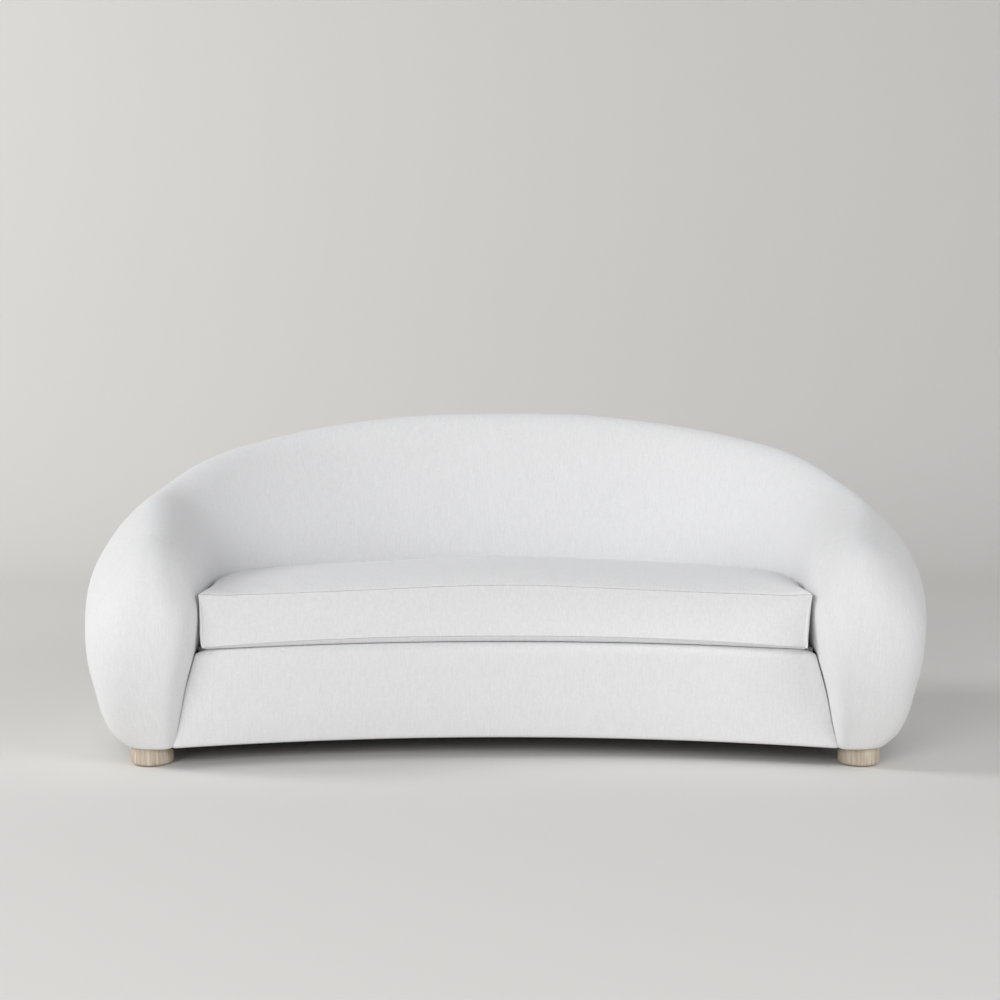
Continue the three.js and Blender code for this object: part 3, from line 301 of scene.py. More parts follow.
def shell_points(signed, along, inset=0.0):
    """Points of the shell's surface, drawn in by an inset, as an array of places by columns."""
    place = np.minimum(np.abs(signed), 2.0)
    turn = (np.maximum(np.abs(signed) - 2.0, 0.0) * PAW_TURN)[:, None]
    point, travel, outward = spine_frame(place)
    thickness = mix(BACK_THICKNESS, ARM_THICKNESS, smooth_between(0.2, 1.0, place))
    thickness = mix(thickness, PAW_THICKNESS, smooth_between(1.0, 2.0, place))
    half = (thickness / 2 - inset)[:, None]
    crest = (crest_at(place) - inset)[:, None]
    reach = np.sin(turn) ** PAW_REACH_POWER * (1 - inset / PAW_LENGTH)
    shares = section_shares(place, np.asarray(along, float))
    over = np.clip((shares[..., 1] - DOME_FROM) / (1 - DOME_FROM), 0.0, 1.0) * CREST_REACH
    centre = mix(PAW_CENTRE_SHARE, PAW_CREST_SHARE, over ** 2)
    blunt = np.where(shares[..., 0] < centre, PAW_INNER_POWER, PAW_OUTER_POWER)
    narrow = np.clip(np.cos(turn), 0.0, 1.0) ** blunt
    across = ((shares[..., 0] - centre) * narrow + centre) * half
    fill = OUTER_FILL * valley(np.abs(signed) - FILL_PLACE, FILL_WIDTH)[:, None]
    across += fill * smooth_between(0.0, 1.0, shares[..., 0]) * smooth_between(0.0, 0.4, shares[..., 1])
    dome = (1 - over ** DOME_POWER) ** (1 / DOME_POWER)
    up = shares[..., 1] * (1 - PAW_DROP_SHARE * (1 - np.cos(turn)) * dome ** 3)
    undercut = PAW_UNDERCUT * np.maximum(0.0, 1 - up / UNDERCUT_TOP_SHARE) ** 2
    forward = (PAW_LENGTH * dome - undercut) * reach
    x = point[:, :1] + outward[:, :1] * across + travel[:, :1] * forward
    y = point[:, 1:] + outward[:, 1:] * across + travel[:, 1:] * forward
    z = CLEARANCE + up * (crest - CLEARANCE) - PAW_TOP_SLOPE * forward * over ** 2
    side = np.where(np.asarray(signed) < 0, -1.0, 1.0)[:, None]
    return np.stack([side * x, y, z], axis=-1)


print("crest heights", crest_at(np.array([0.0, 0.5, 1.0, 2.0])).round(3).tolist())

# %% [markdown]
# ## Meshes from grids
# Upholstery panels are grids of points: stations along a line, rows up the panel. One helper turns
# points and faces into a smooth-shaded object and stores the weave attribute with it. The others measure
# lines, which the outlines of the border, the deck, the cushion and the dust cover all need.


# %% Mesh helpers
def new_piece(name, points, faces, material, weave=None):
    mesh = bpy.data.meshes.new(name)
    mesh.from_pydata(np.asarray(points, float).tolist(), [], [list(map(int, f)) for f in faces])
    mesh.validate()
    mesh.shade_smooth()
    if weave is not None:
        attribute = mesh.attributes.new("weave", "FLOAT_VECTOR", "POINT")
        attribute.data.foreach_set("vector", np.asarray(weave, float).ravel())
    mesh.materials.append(material)
    piece = bpy.data.objects.new(name, mesh)
    bpy.context.scene.collection.objects.link(piece)
    return piece


def grid_faces(rows, columns, close_rows=False, start=0):
    """Quads of a grid whose points are numbered row by row."""
    faces = []
    for r in range(rows if close_rows else rows - 1):
        low, high = start + r * columns, start + (r + 1) % rows * columns
        faces += [[low + c, high + c, high + c + 1, low + c + 1] for c in range(columns - 1)]
    return faces


def band(low, high):
    """Quads between two closed loops of point numbers."""
    return [list(quad) for quad in zip(low, low[1:] + low[:1], high[1:] + high[:1], high)]


def apply_modifiers(piece):
    """Turns what the modifiers make into a plain mesh."""
    evaluated = piece.evaluated_get(bpy.context.evaluated_depsgraph_get())
    mesh = bpy.data.meshes.new_from_object(evaluated)
    piece.modifiers.clear()
    piece.data = mesh


def lengths_along(points):
    """Running length along the first axis of an array of points."""
    steps = np.linalg.norm(np.diff(points, axis=0), axis=-1)
    return np.concatenate([np.zeros((1, *steps.shape[1:])), np.cumsum(steps, axis=0)])


def points_at(line, run, wanted):
    """Points of a plane line at the wanted lengths, where run is the length at each of its points."""
    return np.stack([np.interp(wanted, run, line[:, k]) for k in range(2)], axis=-1)


def even_steps(line, count):
    """The same line with its points evenly spaced."""
    run = lengths_along(line)
    return points_at(line, run, np.linspace(0.0, run[-1], count))


def gap_to(points, others):
    """How far each point is from the nearest of the others."""
    return np.linalg.norm(points[:, None] - others[None], axis=-1).min(axis=1)


def beside(outline):
    """Unit directions square to a closed outline at each of its points."""
    heading = np.roll(outline, -1, axis=0) - np.roll(outline, 1, axis=0)
    side = np.stack([heading[:, 1], -heading[:, 0]], axis=-1)
    return side / np.linalg.norm(side, axis=-1, keepdims=True)


def crossing(line, behind):
    """Number of the first point that isn't behind, and the point where the line stops being so."""
    first = int(np.argmax(behind < 0))
    share = behind[first - 1] / (behind[first - 1] - behind[first])
    return first, mix(line[first - 1], line[first], share)


print("a grid of 3 by 4 points has", len(grid_faces(3, 4)), "faces")

# %% [markdown]
# ## The covered shell
# On the real sofa foam is glued round the wooden frame and one sewn cover is pulled over it, turned
# under at the bottom and stapled. From outside that is one soft skin, so it is made as one: sections
# every 13 mm along the spine, each rounded at its bottom edges and turned under. Where the seat deck
# and the front border hide the inner side there is no cover, as on the real one. The outside back is a
# panel of its own, closed by a seam below the crest and one down each rear corner.

# %% Shell stations and rows
SHELL_STEP = 0.013
TIP = 2.0 + math.pi / 2 / PAW_TURN
SEAM_HALF = 0.004
BACK_SEAM = 10.4  # number along the section of the seam below the crest
CORNER_SEAM = 0.80  # place of the seam down a rear corner
ACROSS_SEAM = np.array([-1.0, -0.4, 0.0, 0.4, 1.0])  # fine steps over a seam
SEAM_NUMBERS = 0.05  # half a seam's width, as numbers along the section
OUTSIDE = 12.0  # number of the line on the outside along which the stations are spaced

fine = np.linspace(0.0, TIP, 1500)
middle_line = shell_points(fine, [OUTSIDE])[:, 0]
fine_lengths = lengths_along(middle_line)
station_count = int(round(fine_lengths[-1] / SHELL_STEP))
right = np.interp(np.linspace(0.0, fine_lengths[-1], station_count + 1), fine_lengths, fine)
seam_length = np.interp(CORNER_SEAM, fine, fine_lengths)
beside_seam = np.interp(seam_length + SEAM_HALF * ACROSS_SEAM, fine_lengths, fine)
clear_of_seam = np.abs(np.interp(right, fine, fine_lengths) - seam_length) > 1.6 * SEAM_HALF
right = np.sort(np.concatenate([right[clear_of_seam], beside_seam]))
stations = np.concatenate([-right[:0:-1], right])

BOTTOM_ROUND = 0.16  # number along the section where the bottom's rounding begins
ROWS_PER_SIDE = 62

near_crest = np.linspace(CREST - 1, CREST + 1, 2001)
TOP_NUMBER = float(near_crest[np.argmax(section_shares(np.array([2.0]), near_crest)[0, :, 1])])


def across_the_tip(inner_numbers):
    """Numbers on the outer side that end at the same height on the arm's front as these on the inner."""
    inner, outer = np.linspace(0.0, TOP_NUMBER, 4000), np.linspace(LAST_SHARE, TOP_NUMBER, 4000)
    inner_ups, outer_ups = (section_shares(np.array([2.0]), n)[0, :, 1] for n in (inner, outer))
    return np.interp(np.interp(inner_numbers, inner, inner_ups), outer_ups, outer)


inner_rows = np.linspace(BOTTOM_ROUND, TOP_NUMBER, ROWS_PER_SIDE)
seam_number = np.interp(-BACK_SEAM, -across_the_tip(inner_rows), inner_rows)
near_seam_rows = seam_number + SEAM_NUMBERS * ACROSS_SEAM
inner_rows = inner_rows[np.abs(inner_rows - seam_number) > 1.8 * SEAM_NUMBERS]
inner_rows = np.sort(np.concatenate([inner_rows, near_seam_rows]))
wall_rows = np.concatenate([inner_rows, across_the_tip(inner_rows[:-1])[::-1]])
BACK_SEAM = float(across_the_tip(near_seam_rows[2:3])[0])
UNDER_INSETS = np.array([0.070, 0.052, 0.036, 0.024, 0.016])
print("shell:", len(stations), "stations of", len(wall_rows) + 2 * (len(UNDER_INSETS) + 3), "rows")


# %% Shell surface
def bottom_edge(number, wall_number):
    """Columns from the turned-under edge round the bottom corner up to the wall."""
    under = [shell_points(stations, [number], inset)[:, 0] for inset in UNDER_INSETS]
    for column in under:
        column[:, 2] = CLEARANCE
    corner = shell_points(stations, [number])[:, 0]
    wall = shell_points(stations, [wall_number])[:, 0]
    start = under[-1]
    curve = [(1 - f) ** 2 * start + 2 * f * (1 - f) * corner + f ** 2 * wall for f in (0.25, 0.5, 0.75)]
    return np.stack(under + curve, axis=1)


inner_edge = bottom_edge(0, wall_rows[0])
outer_edge = bottom_edge(LAST_SHARE, wall_rows[-1])[:, ::-1]
walls = shell_points(stations, wall_rows)
shell_grid = np.concatenate([inner_edge, walls, outer_edge], axis=1)
edge_count = inner_edge.shape[1]
section_numbers = np.concatenate([[0.0] * edge_count, wall_rows, [float(LAST_SHARE)] * edge_count])
station_total, row_total = shell_grid.shape[:2]
station_lengths = np.sign(stations) * np.interp(np.abs(stations), fine, fine_lengths)
row_lengths = lengths_along(shell_grid.transpose(1, 0, 2)).T
crest_column = row_total // 2
row_lengths -= row_lengths[:, crest_column:crest_column + 1]
for end in (0, -1):  # both halves of the last section meet in one line down the arm's front
    shell_grid[end] = (shell_grid[end] + shell_grid[end][::-1]) / 2
print("shell grid", shell_grid.shape, "along", round(station_lengths[-1] * 2, 2), "m")

# %% [markdown]
# A rule leaves a slight point where all sections of an arm's front meet at its top. Stuffing under cloth
# can't keep such a point, so each point of the arm's top moves to the mean of the skin round it. The
# arm's outside is evened out in the same way, but keeps its size.

# %% Soft arm tops and sides
SOFT_RADIUS, EVEN_RADIUS = 0.043, 0.062
SOFT_FROM, SOFT_TO = 1.1, 1.55  # places between which the softening comes in
EVEN_FROM, EVEN_TO = 0.6, 1.3  # and the evening out of humps
SOFT_LOW, SOFT_HIGH = 0.37, 0.50  # and heights
SIDE_LOW, SIDE_HIGH = 0.13, 0.24  # heights on an arm's outside
SIDE_END, SIDE_GONE = 2.35, 2.85  # places between which the softening of the outside fades


def nearby_mean(points, values, sizes, chosen, radius):
    """For each chosen point, the mean of the values round it, weighted by the sizes of the cells."""
    result = []
    for part in np.array_split(points[chosen], 60):
        distance = ((part[:, None] - points[None, ::3]) ** 2).sum(axis=-1)  # every third point is enough
        weight = np.exp(-distance / (2 * radius ** 2)) * sizes[::3]
        result.append((weight @ values[::3]) / weight.sum(axis=1, keepdims=True))
    return np.concatenate(result)


def soften(share, region, radius, keeps_size=False):
    """Moves a region's points by their share to the mean of the skin round them."""
    points, sizes = shell_grid[region], cell_sizes[region]
    chosen = np.flatnonzero(share[region] > 0)
    shift = np.zeros_like(points)
    shift[chosen] = nearby_mean(points, points, sizes, chosen, radius) - points[chosen]
    if keeps_size:  # what the whole side would shrink is given back, only its humps go
        shift[chosen] -= nearby_mean(points, shift, sizes, chosen, radius)
    shift *= share[region][:, None]
    shell_grid[region] += shift
    print("softened", len(chosen), "points by up to",
          round(np.linalg.norm(shift, axis=-1).max() * 1000, 1), "mm")


cell_sizes = np.linalg.norm(np.cross(*np.gradient(shell_grid, axis=(0, 1))), axis=-1)
far_out = np.abs(stations)[:, None]
soft_coming_in = smooth_between(SOFT_FROM, SOFT_TO, far_out)
even_coming_in = smooth_between(EVEN_FROM, EVEN_TO, far_out)
for on_side in (stations < 0, stations > 0):
    height = shell_grid[..., 2]
    near_top = on_side[:, None] & (far_out > SOFT_FROM - 0.3) & (height > SOFT_LOW - 0.09)
    top_share = smooth_between(SOFT_LOW, SOFT_HIGH, height)
    soften(soft_coming_in * top_share, near_top, SOFT_RADIUS)
    side_share = (smooth_between(CREST + 0.3, CREST + 1.6, section_numbers)
                  * (1 - smooth_between(SIDE_END, SIDE_GONE, far_out))
                  * smooth_between(SIDE_LOW, SIDE_HIGH, height))
    soften(even_coming_in * np.maximum(top_share, side_share),
           on_side[:, None] & (far_out > EVEN_FROM - 0.3) & (height > 0), EVEN_RADIUS, keeps_size=True)

# %% [markdown]
# Foam under cloth is never perfectly even. A few long, shallow waves move the skin in and out by about
# a millimetre, and the seams of the outside back pull it in along a narrow line.


# %% Shell unevenness and seams
def grid_normals(grid):
    """Unit normals of a grid of points, from its neighbours."""
    normal = np.cross(*np.gradient(grid, axis=(0, 1)))
    return normal / np.maximum(np.linalg.norm(normal, axis=-1, keepdims=True), 1e-12)


def waves(points, size, seed, count=7):
    """A smooth, uneven value between about -1 and 1 for each point, with humps of about that size."""
    random = np.random.default_rng(seed)
    total = np.zeros(points.shape[:-1])
    for _ in range(count):
        direction = random.normal(size=3)
        direction /= np.linalg.norm(direction)
        phase = random.uniform(0, 2 * math.pi)
        length = size * random.uniform(0.7, 1.6)
        total += np.sin(points @ direction * 2 * math.pi / length + phase)
    return total / math.sqrt(count)


def humps(points, *rows):
    """The sum of waves, each given by its height, its size and its seed."""
    return sum(height * waves(points, size, seed) for height, size, seed in rows)


SEAM_DEEP, SEAM_WIDE = 0.0022, 0.0022
PILLOW_DEEP, PILLOW_WIDE = 0.0012, 0.030  # how far the cloth is drawn in round a seam

normals = grid_normals(shell_grid)
normals *= np.sign(normals[station_total // 2, crest_column, 2])
for end, next_in in ((0, 1), (-1, -2)):
    tip_normal = normals[next_in] + normals[next_in][::-1]
    normals[end] = tip_normal / np.linalg.norm(tip_normal, axis=-1, keepdims=True)
uneven = humps(shell_grid, (0.0011, 0.34, 3), (0.0004, 0.12, 4))
on_panel = smooth_between(0.0, 1.0, (section_numbers - BACK_SEAM) * 40)[None, :]
inside_corners = (np.abs(stations) <= CORNER_SEAM + 1e-6)[:, None]
seam_column = np.argmin(np.abs(section_numbers - BACK_SEAM))
row_distance = np.abs(row_lengths - row_lengths[:, seam_column:seam_column + 1])
station_distance = np.abs(np.abs(station_lengths) - seam_length)[:, None]
groove = valley(row_distance, SEAM_WIDE) * inside_corners
on_back = (section_numbers >= BACK_SEAM)[None, :]
groove = np.maximum(groove, valley(station_distance, SEAM_WIDE) * on_back)
pillow = valley(row_distance, PILLOW_WIDE) * inside_corners
pillow += valley(station_distance, PILLOW_WIDE) * on_panel
flat_bottom = smooth_between(CLEARANCE, CLEARANCE + 0.06, shell_grid[..., 2])
at_pole = smooth_between(1.95, 2.2, np.abs(stations))[:, None] * valley(section_numbers - CREST, 1.6)
offset = uneven * (1 - at_pole) * flat_bottom - SEAM_DEEP * groove
offset -= PILLOW_DEEP * np.minimum(pillow, 1.0) * flat_bottom
offset[[0, -1]] = (offset[[0, -1]] + offset[[0, -1], ::-1]) / 2
shell_grid = shell_grid + normals * offset[..., None]
print("deepest seam", round(-offset.min() * 1000, 1), "mm")

# %% [markdown]
# The front border stands between the arms, so it needs to know where their sides are. Its line sags
# back in the middle. The cover's inner side is kept only in front of that line or above the deck.

# %% Shell piece
BORDER_FRONT_Y = -0.395
BORDER_SAG = 0.120
BORDER_HALF = 0.783
BORDER_KEEP = 0.020  # how far the cover goes on behind the border
DECK_KEEP = 0.004  # and below the deck
COVER_THICK = 0.0025


def border_y(x):
    return BORDER_FRONT_Y + BORDER_SAG * (1 - (x / BORDER_HALF) ** 2)


quads = np.array(grid_faces(station_total, row_total))
flat_points = shell_grid.reshape(-1, 3)
centres = flat_points[quads].mean(axis=1)
columns = quads[:, 0] % row_total
hidden = (columns < crest_column) & (centres[:, 2] < DECK - DECK_KEEP)
hidden &= centres[:, 1] > border_y(centres[:, 0]) + BORDER_KEEP
shared = np.arange(len(flat_points))
for end in (0, station_total - 1):
    first = end * row_total
    for i in range(crest_column):
        shared[first + row_total - 1 - i] = first + i
shell_faces = [list(dict.fromkeys(face)) for face in shared[quads[~hidden]].tolist()]
shell_faces = [face for face in shell_faces if len(face) > 2]
spine_points, _, spine_outward = spine_frame(np.minimum(np.abs(stations), 2.0))
side_signs = np.where(stations < 0, -1.0, 1.0)[:, None]
across_spine = ((shell_grid[..., 0] * side_signs - spine_points[:, :1]) * spine_outward[:, :1]
                + (shell_grid[..., 1] - spine_points[:, 1:]) * spine_outward[:, 1:])
weave = np.stack([
    np.broadcast_to(station_lengths[:, None], row_lengths.shape), -np.abs(row_lengths),
    across_spine], axis=-1) * 1000
used = np.unique(np.concatenate([np.ravel(f) for f in shell_faces]))
renumber = np.full(len(flat_points), -1)
renumber[used] = np.arange(len(used))
shell_faces = [[renumber[i] for i in face] for face in shell_faces]
shell_upholstery = new_piece(
    "shell_upholstery", flat_points[used], shell_faces, COVER_CLOTH, weave.reshape(-1, 3)[used])


def turn_faces_outwards(piece, towards_outside):
    """Flips the mesh if the face nearest a point outside looks away from it."""
    mesh = piece.data
    point = Vector(towards_outside)
    nearest = min(mesh.polygons, key=lambda face: (face.center - point).length_squared)
    if nearest.normal.dot(point - nearest.center) < 0:
        mesh.flip_normals()


turn_faces_outwards(shell_upholstery, (0.0, 2.0, 0.5))
solidify = shell_upholstery.modifiers.new("cover_thickness", "SOLIDIFY")
solidify.thickness, solidify.offset = COVER_THICK, -1.0
apply_modifiers(shell_upholstery)
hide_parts("shell_cover", "arm_foam_left", "arm_foam_right", "back_foam_left",
            "back_foam_middle", "back_foam_right")
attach(shell_upholstery, "frame")
print("shell_upholstery:", len(shell_upholstery.data.polygons), "faces")

# %% [markdown]
# ## The front border
# Under the cushion a padded panel closes the seat between the arms. It is foam over the front rail, with
# the same cloth, rounded over its top edge and at its top corners, and it meets the arms in a thin dark
# line. Each row of its grid runs from arm to arm and ends just short of the arm's side at that height.

# %% Where the border's rows end
BORDER_TOP_HALF = 0.757
BORDER_CORNER = 0.042
BORDER_EDGE = 0.024
BORDER_DEPTH = 0.0417
JOINT = 0.0012  # between the border's ends and an arm
FLANGE_DEPTHS = (0.028, 0.020, 0.012)  # of the cloth that is turned under
LOW_ROUND = 0.010  # radius of the lower edge
FACE_SWELL = 0.0028  # how far the face stands out at half height
BACK_HEIGHTS = (DECK, 0.262, 0.160, CLEARANCE + 0.0035)  # of the border's back


def arm_side_x(z, depth):
    """Half width at which a row of the border, at this height and depth, meets the arm's side."""
    sections = shell_points(np.linspace(1.5, TIP, 500), np.linspace(0.0, CREST, 160))
    side = np.array([points_at(section, section[:, 2], z) for section in sections])
    return crossing(side[:, 0], side[:, 1] - border_y(side[:, 0]) - depth)[1] - JOINT


def border_half_at(z, depth):
    over = max(0.0, z - (DECK - BORDER_CORNER))
    corner = BORDER_TOP_HALF - BORDER_CORNER + math.sqrt(max(0.0, BORDER_CORNER ** 2 - over ** 2))
    return min(arm_side_x(z, depth), corner) if over else arm_side_x(z, depth)


def border_profile():
    """(depth, height) from the turned-under flange, up the face, over the edge, back and down again."""
    points = [(depth, CLEARANCE) for depth in FLANGE_DEPTHS]
    for angle in np.radians([65, 40, 15]):
        points.append((LOW_ROUND - LOW_ROUND * math.cos(angle),
                       CLEARANCE + LOW_ROUND - LOW_ROUND * math.sin(angle)))
    for share in np.linspace(0.0, 1.0, 17):
        z = mix(CLEARANCE + LOW_ROUND * 1.2, DECK - BORDER_EDGE, share)
        points.append((-FACE_SWELL * math.sin(math.pi * share) ** 0.8, z))
    for angle in np.radians([15, 30, 45, 60, 75, 90]):
        points.append((BORDER_EDGE - BORDER_EDGE * math.cos(angle),
                       DECK - BORDER_EDGE + BORDER_EDGE * math.sin(angle)))
    points += [(0.033, DECK), *((BORDER_DEPTH, z) for z in BACK_HEIGHTS), (0.034, CLEARANCE + 0.0025)]
    return points


profile = border_profile()
row_halves = np.array([border_half_at(z, depth) for depth, z in profile])
print("border half widths", row_halves.min().round(3), "to", row_halves.max().round(3))

# %% Border piece
BORDER_STEP, END_ROUND, TOP_ROUND = 0.014, 0.020, 0.06
END_DISTANCES = np.array([0.0, 0.0006, 0.002, 0.0045, 0.008, 0.013, 0.020, 0.030])

across_count = int(2 * BORDER_HALF / BORDER_STEP)
border_rings, border_weave = [], []
profile_lengths = lengths_along(np.array(profile))
for (depth, z), half, up in zip(profile, row_halves, profile_lengths):
    inner = half - END_DISTANCES
    xs = np.concatenate([-inner, np.linspace(-inner[-1], inner[-1], across_count)[1:-1], inner[::-1]])
    from_end = np.minimum(half - np.abs(xs), END_ROUND)
    pulled = 0.5 * END_ROUND * (1 - np.sqrt(1 - (1 - from_end / END_ROUND) ** 2))
    inside = np.clip((BORDER_DEPTH - depth) / BORDER_DEPTH, 0.0, 1.0)
    above = np.clip((z - (DECK - TOP_ROUND)) / TOP_ROUND, 0.0, 1.0)
    ring = np.stack([xs, border_y(xs) + depth + pulled * inside, z - 0.5 * pulled * above], axis=-1)
    border_rings.append(ring)
    border_weave.append(np.stack([xs, np.full_like(xs, up), np.full_like(xs, depth)], axis=-1) * 1000)
border_grid = np.array(border_rings)
facing = np.array([0.0, -1.0, 0.0])
border_uneven = humps(border_grid, (0.0009, 0.30, 11), (0.0004, 0.09, 12))
on_face = np.array([1.0 if depth < 0.03 and z > CLEARANCE + 0.02 else 0.0 for depth, z in profile])
border_grid = border_grid + (border_uneven * on_face[:, None])[..., None] * facing
rows, ring_size = border_grid.shape[:2]
border_faces = grid_faces(rows, ring_size, close_rows=True)
for column in (0, ring_size - 1):
    cap = [row * ring_size + column for row in range(rows)]
    border_faces.append(cap if column else cap[::-1])
front_border = new_piece(
    "front_border", border_grid.reshape(-1, 3), border_faces, COVER_CLOTH,
    np.array(border_weave).reshape(-1, 3))
turn_faces_outwards(front_border, (0.0, -2.0, 0.15))
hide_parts("front_border_cover", "front_border_foam")
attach(front_border, "frame")
print("front_border:", len(front_border.data.polygons), "faces")

# %% [markdown]
# ## The seat deck
# When the cushion is lifted a plain cloth deck shows, drawn tight over a thin pad on the webbing. Its
# outline follows the inner wall of the shell, and it sags a little between the rails.


# %% Wall lines at a height
def wall_line(z_low, z_high, gap, places):
    """Where the inner wall comes furthest in between two heights, less a gap, on the right side."""
    numbers = np.linspace(0.0, CREST, 220)
    ring = shell_points(places, numbers)
    _, _, outward = spine_frame(np.minimum(places, 2.0))
    line = []
    for row, out in zip(ring, outward):
        across = row[:, :2] @ out
        high_enough = (row[:, 2] >= z_low) & (row[:, 2] <= z_high)
        across = np.where(high_enough, across, np.inf)
        line.append(row[np.argmin(across), :2] - out * gap)
    return np.array(line)


def cut_at_front(line, front):
    """The part of a line behind the front curve, with its last point on that curve."""
    first, corner = crossing(line, line[:, 1] - front(line[:, 0]))
    return np.concatenate([line[:first], corner[None]])


def plan_sides(right_line, front, side_share, counts):
    """Front, right, back and left edges of a plan, each from left to right or front to back."""
    run = lengths_along(right_line)
    split = run[-1] * side_share
    half_back = points_at(right_line, run, np.linspace(0.0, split, 200))
    side = points_at(right_line, run, np.linspace(run[-1], split, 200))
    back_right = even_steps(half_back, counts[0] // 2 + 1)
    back = np.concatenate([back_right[:0:-1] * (-1, 1), back_right])
    xs = np.linspace(-right_line[-1, 0], right_line[-1, 0], 400)
    front_edge = even_steps(np.stack([xs, front(xs)], axis=-1), counts[0] + 1)
    right_edge = even_steps(side, counts[1] + 1)
    return front_edge, right_edge, back, right_edge * (-1, 1)


def fill_plan(front_edge, right_edge, back, left_edge, us, vs):
    """Points of a four-sided plan at every u (left to right) and v (front to back)."""
    def at(edge, share):
        return points_at(edge, np.arange(len(edge)), share * (len(edge) - 1))
    f, b = at(front_edge, us)[None], at(back, us)[None]
    l, r = at(left_edge, vs)[:, None], at(right_edge, vs)[:, None]
    u, v = us[None, :, None], vs[:, None, None]
    corners = ((1 - u) * (1 - v) * front_edge[0] + u * (1 - v) * front_edge[-1]
               + (1 - u) * v * back[0] + u * v * back[-1])
    return (1 - v) * f + v * b + (1 - u) * l + u * r - corners


def border_of(rows, columns):
    """Numbers of a grid's outer points, once round."""
    return (list(range(columns)) + [r * columns + columns - 1 for r in range(1, rows)]
            + [(rows - 1) * columns + c for c in range(columns - 2, -1, -1)]
            + [r * columns for r in range(rows - 2, 0, -1)])


print("deck wall at the back", wall_line(DECK, DECK + 0.01, 0.0, np.array([0.0]))[0].round(3).tolist())

# %% Deck piece
DECK_BOTTOM, DECK_SAG = 0.2622, 0.004
DECK_ROWS, DECK_COLUMNS = 41, 97
DECK_SIDE_SHARE = 0.66  # of the wall line, from the middle of the back, that bounds the plan's back
PLATFORM_CLOTH = cloth_material("cotton_platform_cloth", "E2E0DC", "D6D3CE", thread=2.2, relief=0.4)
WALK = np.linspace(0.0, TIP, 700)


def deck_front(x):
    return border_y(x) + BORDER_DEPTH + 0.0004


deck_line = cut_at_front(wall_line(DECK - 0.006, DECK + 0.004, 0.0008, WALK), deck_front)
deck_edges = plan_sides(deck_line, deck_front, DECK_SIDE_SHARE, (DECK_COLUMNS - 1, DECK_ROWS - 1))
us, vs = np.linspace(0.0, 1.0, DECK_COLUMNS), np.linspace(0.0, 1.0, DECK_ROWS)
deck_plan = fill_plan(*deck_edges, us, vs)
inside = np.minimum(np.minimum(us, 1 - us)[None, :] * 3.0, np.minimum(vs, 1 - vs)[:, None] * 2.0)
deck_top = DECK - DECK_SAG * smooth_between(0.0, 0.5, inside)
deck_levels = (deck_top, np.full(deck_top.shape, DECK_BOTTOM))
deck_points = np.concatenate([np.dstack([deck_plan, level]).reshape(-1, 3) for level in deck_levels])
below = DECK_ROWS * DECK_COLUMNS
loop = border_of(DECK_ROWS, DECK_COLUMNS)
deck_faces = grid_faces(DECK_ROWS, DECK_COLUMNS)
deck_faces += [face[::-1] for face in grid_faces(DECK_ROWS, DECK_COLUMNS, start=below)]
deck_faces += band(loop, [i + below for i in loop])
seat_deck = new_piece("seat_deck", deck_points, deck_faces, PLATFORM_CLOTH, deck_points * 1000)
turn_faces_outwards(seat_deck, (0.0, 0.0, 1.0))
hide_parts("deck_cloth", "deck_pad")
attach(seat_deck, "frame")
print("seat_deck:", len(seat_deck.data.polygons), "faces")

# %% [markdown]
# ## The seat cushion
# One bench cushion fills the seat: a top and a bottom panel with a boxing strip sewn between them. The
# panels are grids that follow the cushion's own edges, so the seams are real lines of points. The
# cushion starts a little slack. Its seams are then held still while cloth simulation blows it up, and
# the panels swell between the seams as stuffed cloth does.

# %% Cushion outline
CUSHION_GAP, CUSHION_REACH = 0.005, 0.46  # to the walls, and up to which height they matter
CUSHION_FRONT_HALF = 0.7243
ZIP_RADIUS = 1.701942522937221
ZIP_CENTRE_Y = -1.4373045570716688
ZIP_HALF = 0.390
ZIP_HEIGHT = 0.3515
LOWER_SEAM = 0.298
UPPER_SEAM = 0.4105
SEAM_RISE, SEAM_RISE_WIDE = 0.012, 0.30
CORNER_RISE, CORNER_RISE_WIDE = 0.005, 0.045
SEAM_IN = 0.006
SIDE_IN = 0.007  # the upper seam stands a little off the arms
CUSHION_BOTTOM = 0.2806
CROWN = 0.030

wall_round = wall_line(DECK, CUSHION_REACH, CUSHION_GAP, WALK)
zip_arc_y = ZIP_CENTRE_Y + np.sqrt(ZIP_RADIUS ** 2 - wall_round[:, 0] ** 2)
near_zip = 1 - smooth_between(ZIP_HALF, ZIP_HALF + 0.10, wall_round[:, 0])
wall_round[:, 1] = mix(wall_round[:, 1], np.minimum(wall_round[:, 1], zip_arc_y), near_zip)


def cushion_front(x):
    return BORDER_FRONT_Y + BORDER_SAG * (1 - (x / CUSHION_FRONT_HALF) ** 2)


cushion_line = cut_at_front(wall_round, cushion_front)
cushion_corner = cushion_line[-1]
print("cushion corner", cushion_corner.round(4).tolist(), "back", cushion_line[0].round(4).tolist())


# %% Cushion rows
def graded(total, step, fine_steps=(0.0025, 0.0055, 0.010, 0.017, 0.026)):
    """Shares from 0 to 1 with fine steps at both ends and even ones between."""
    ends = np.array([0.0, *fine_steps]) / total
    count = int(round((1 - 2 * ends[-1]) * total / step))
    return np.concatenate([ends, np.linspace(ends[-1], 1 - ends[-1], count + 1)[1:-1], (1 - ends)[::-1]])


SIDE_SHARE = 0.62
CUSHION_WIDTH, CUSHION_DEPTH, CUSHION_STEP = 1.449, 0.60, 0.0155
CORNER_WIDTH, CORNER_TURN = 0.055, 0.020

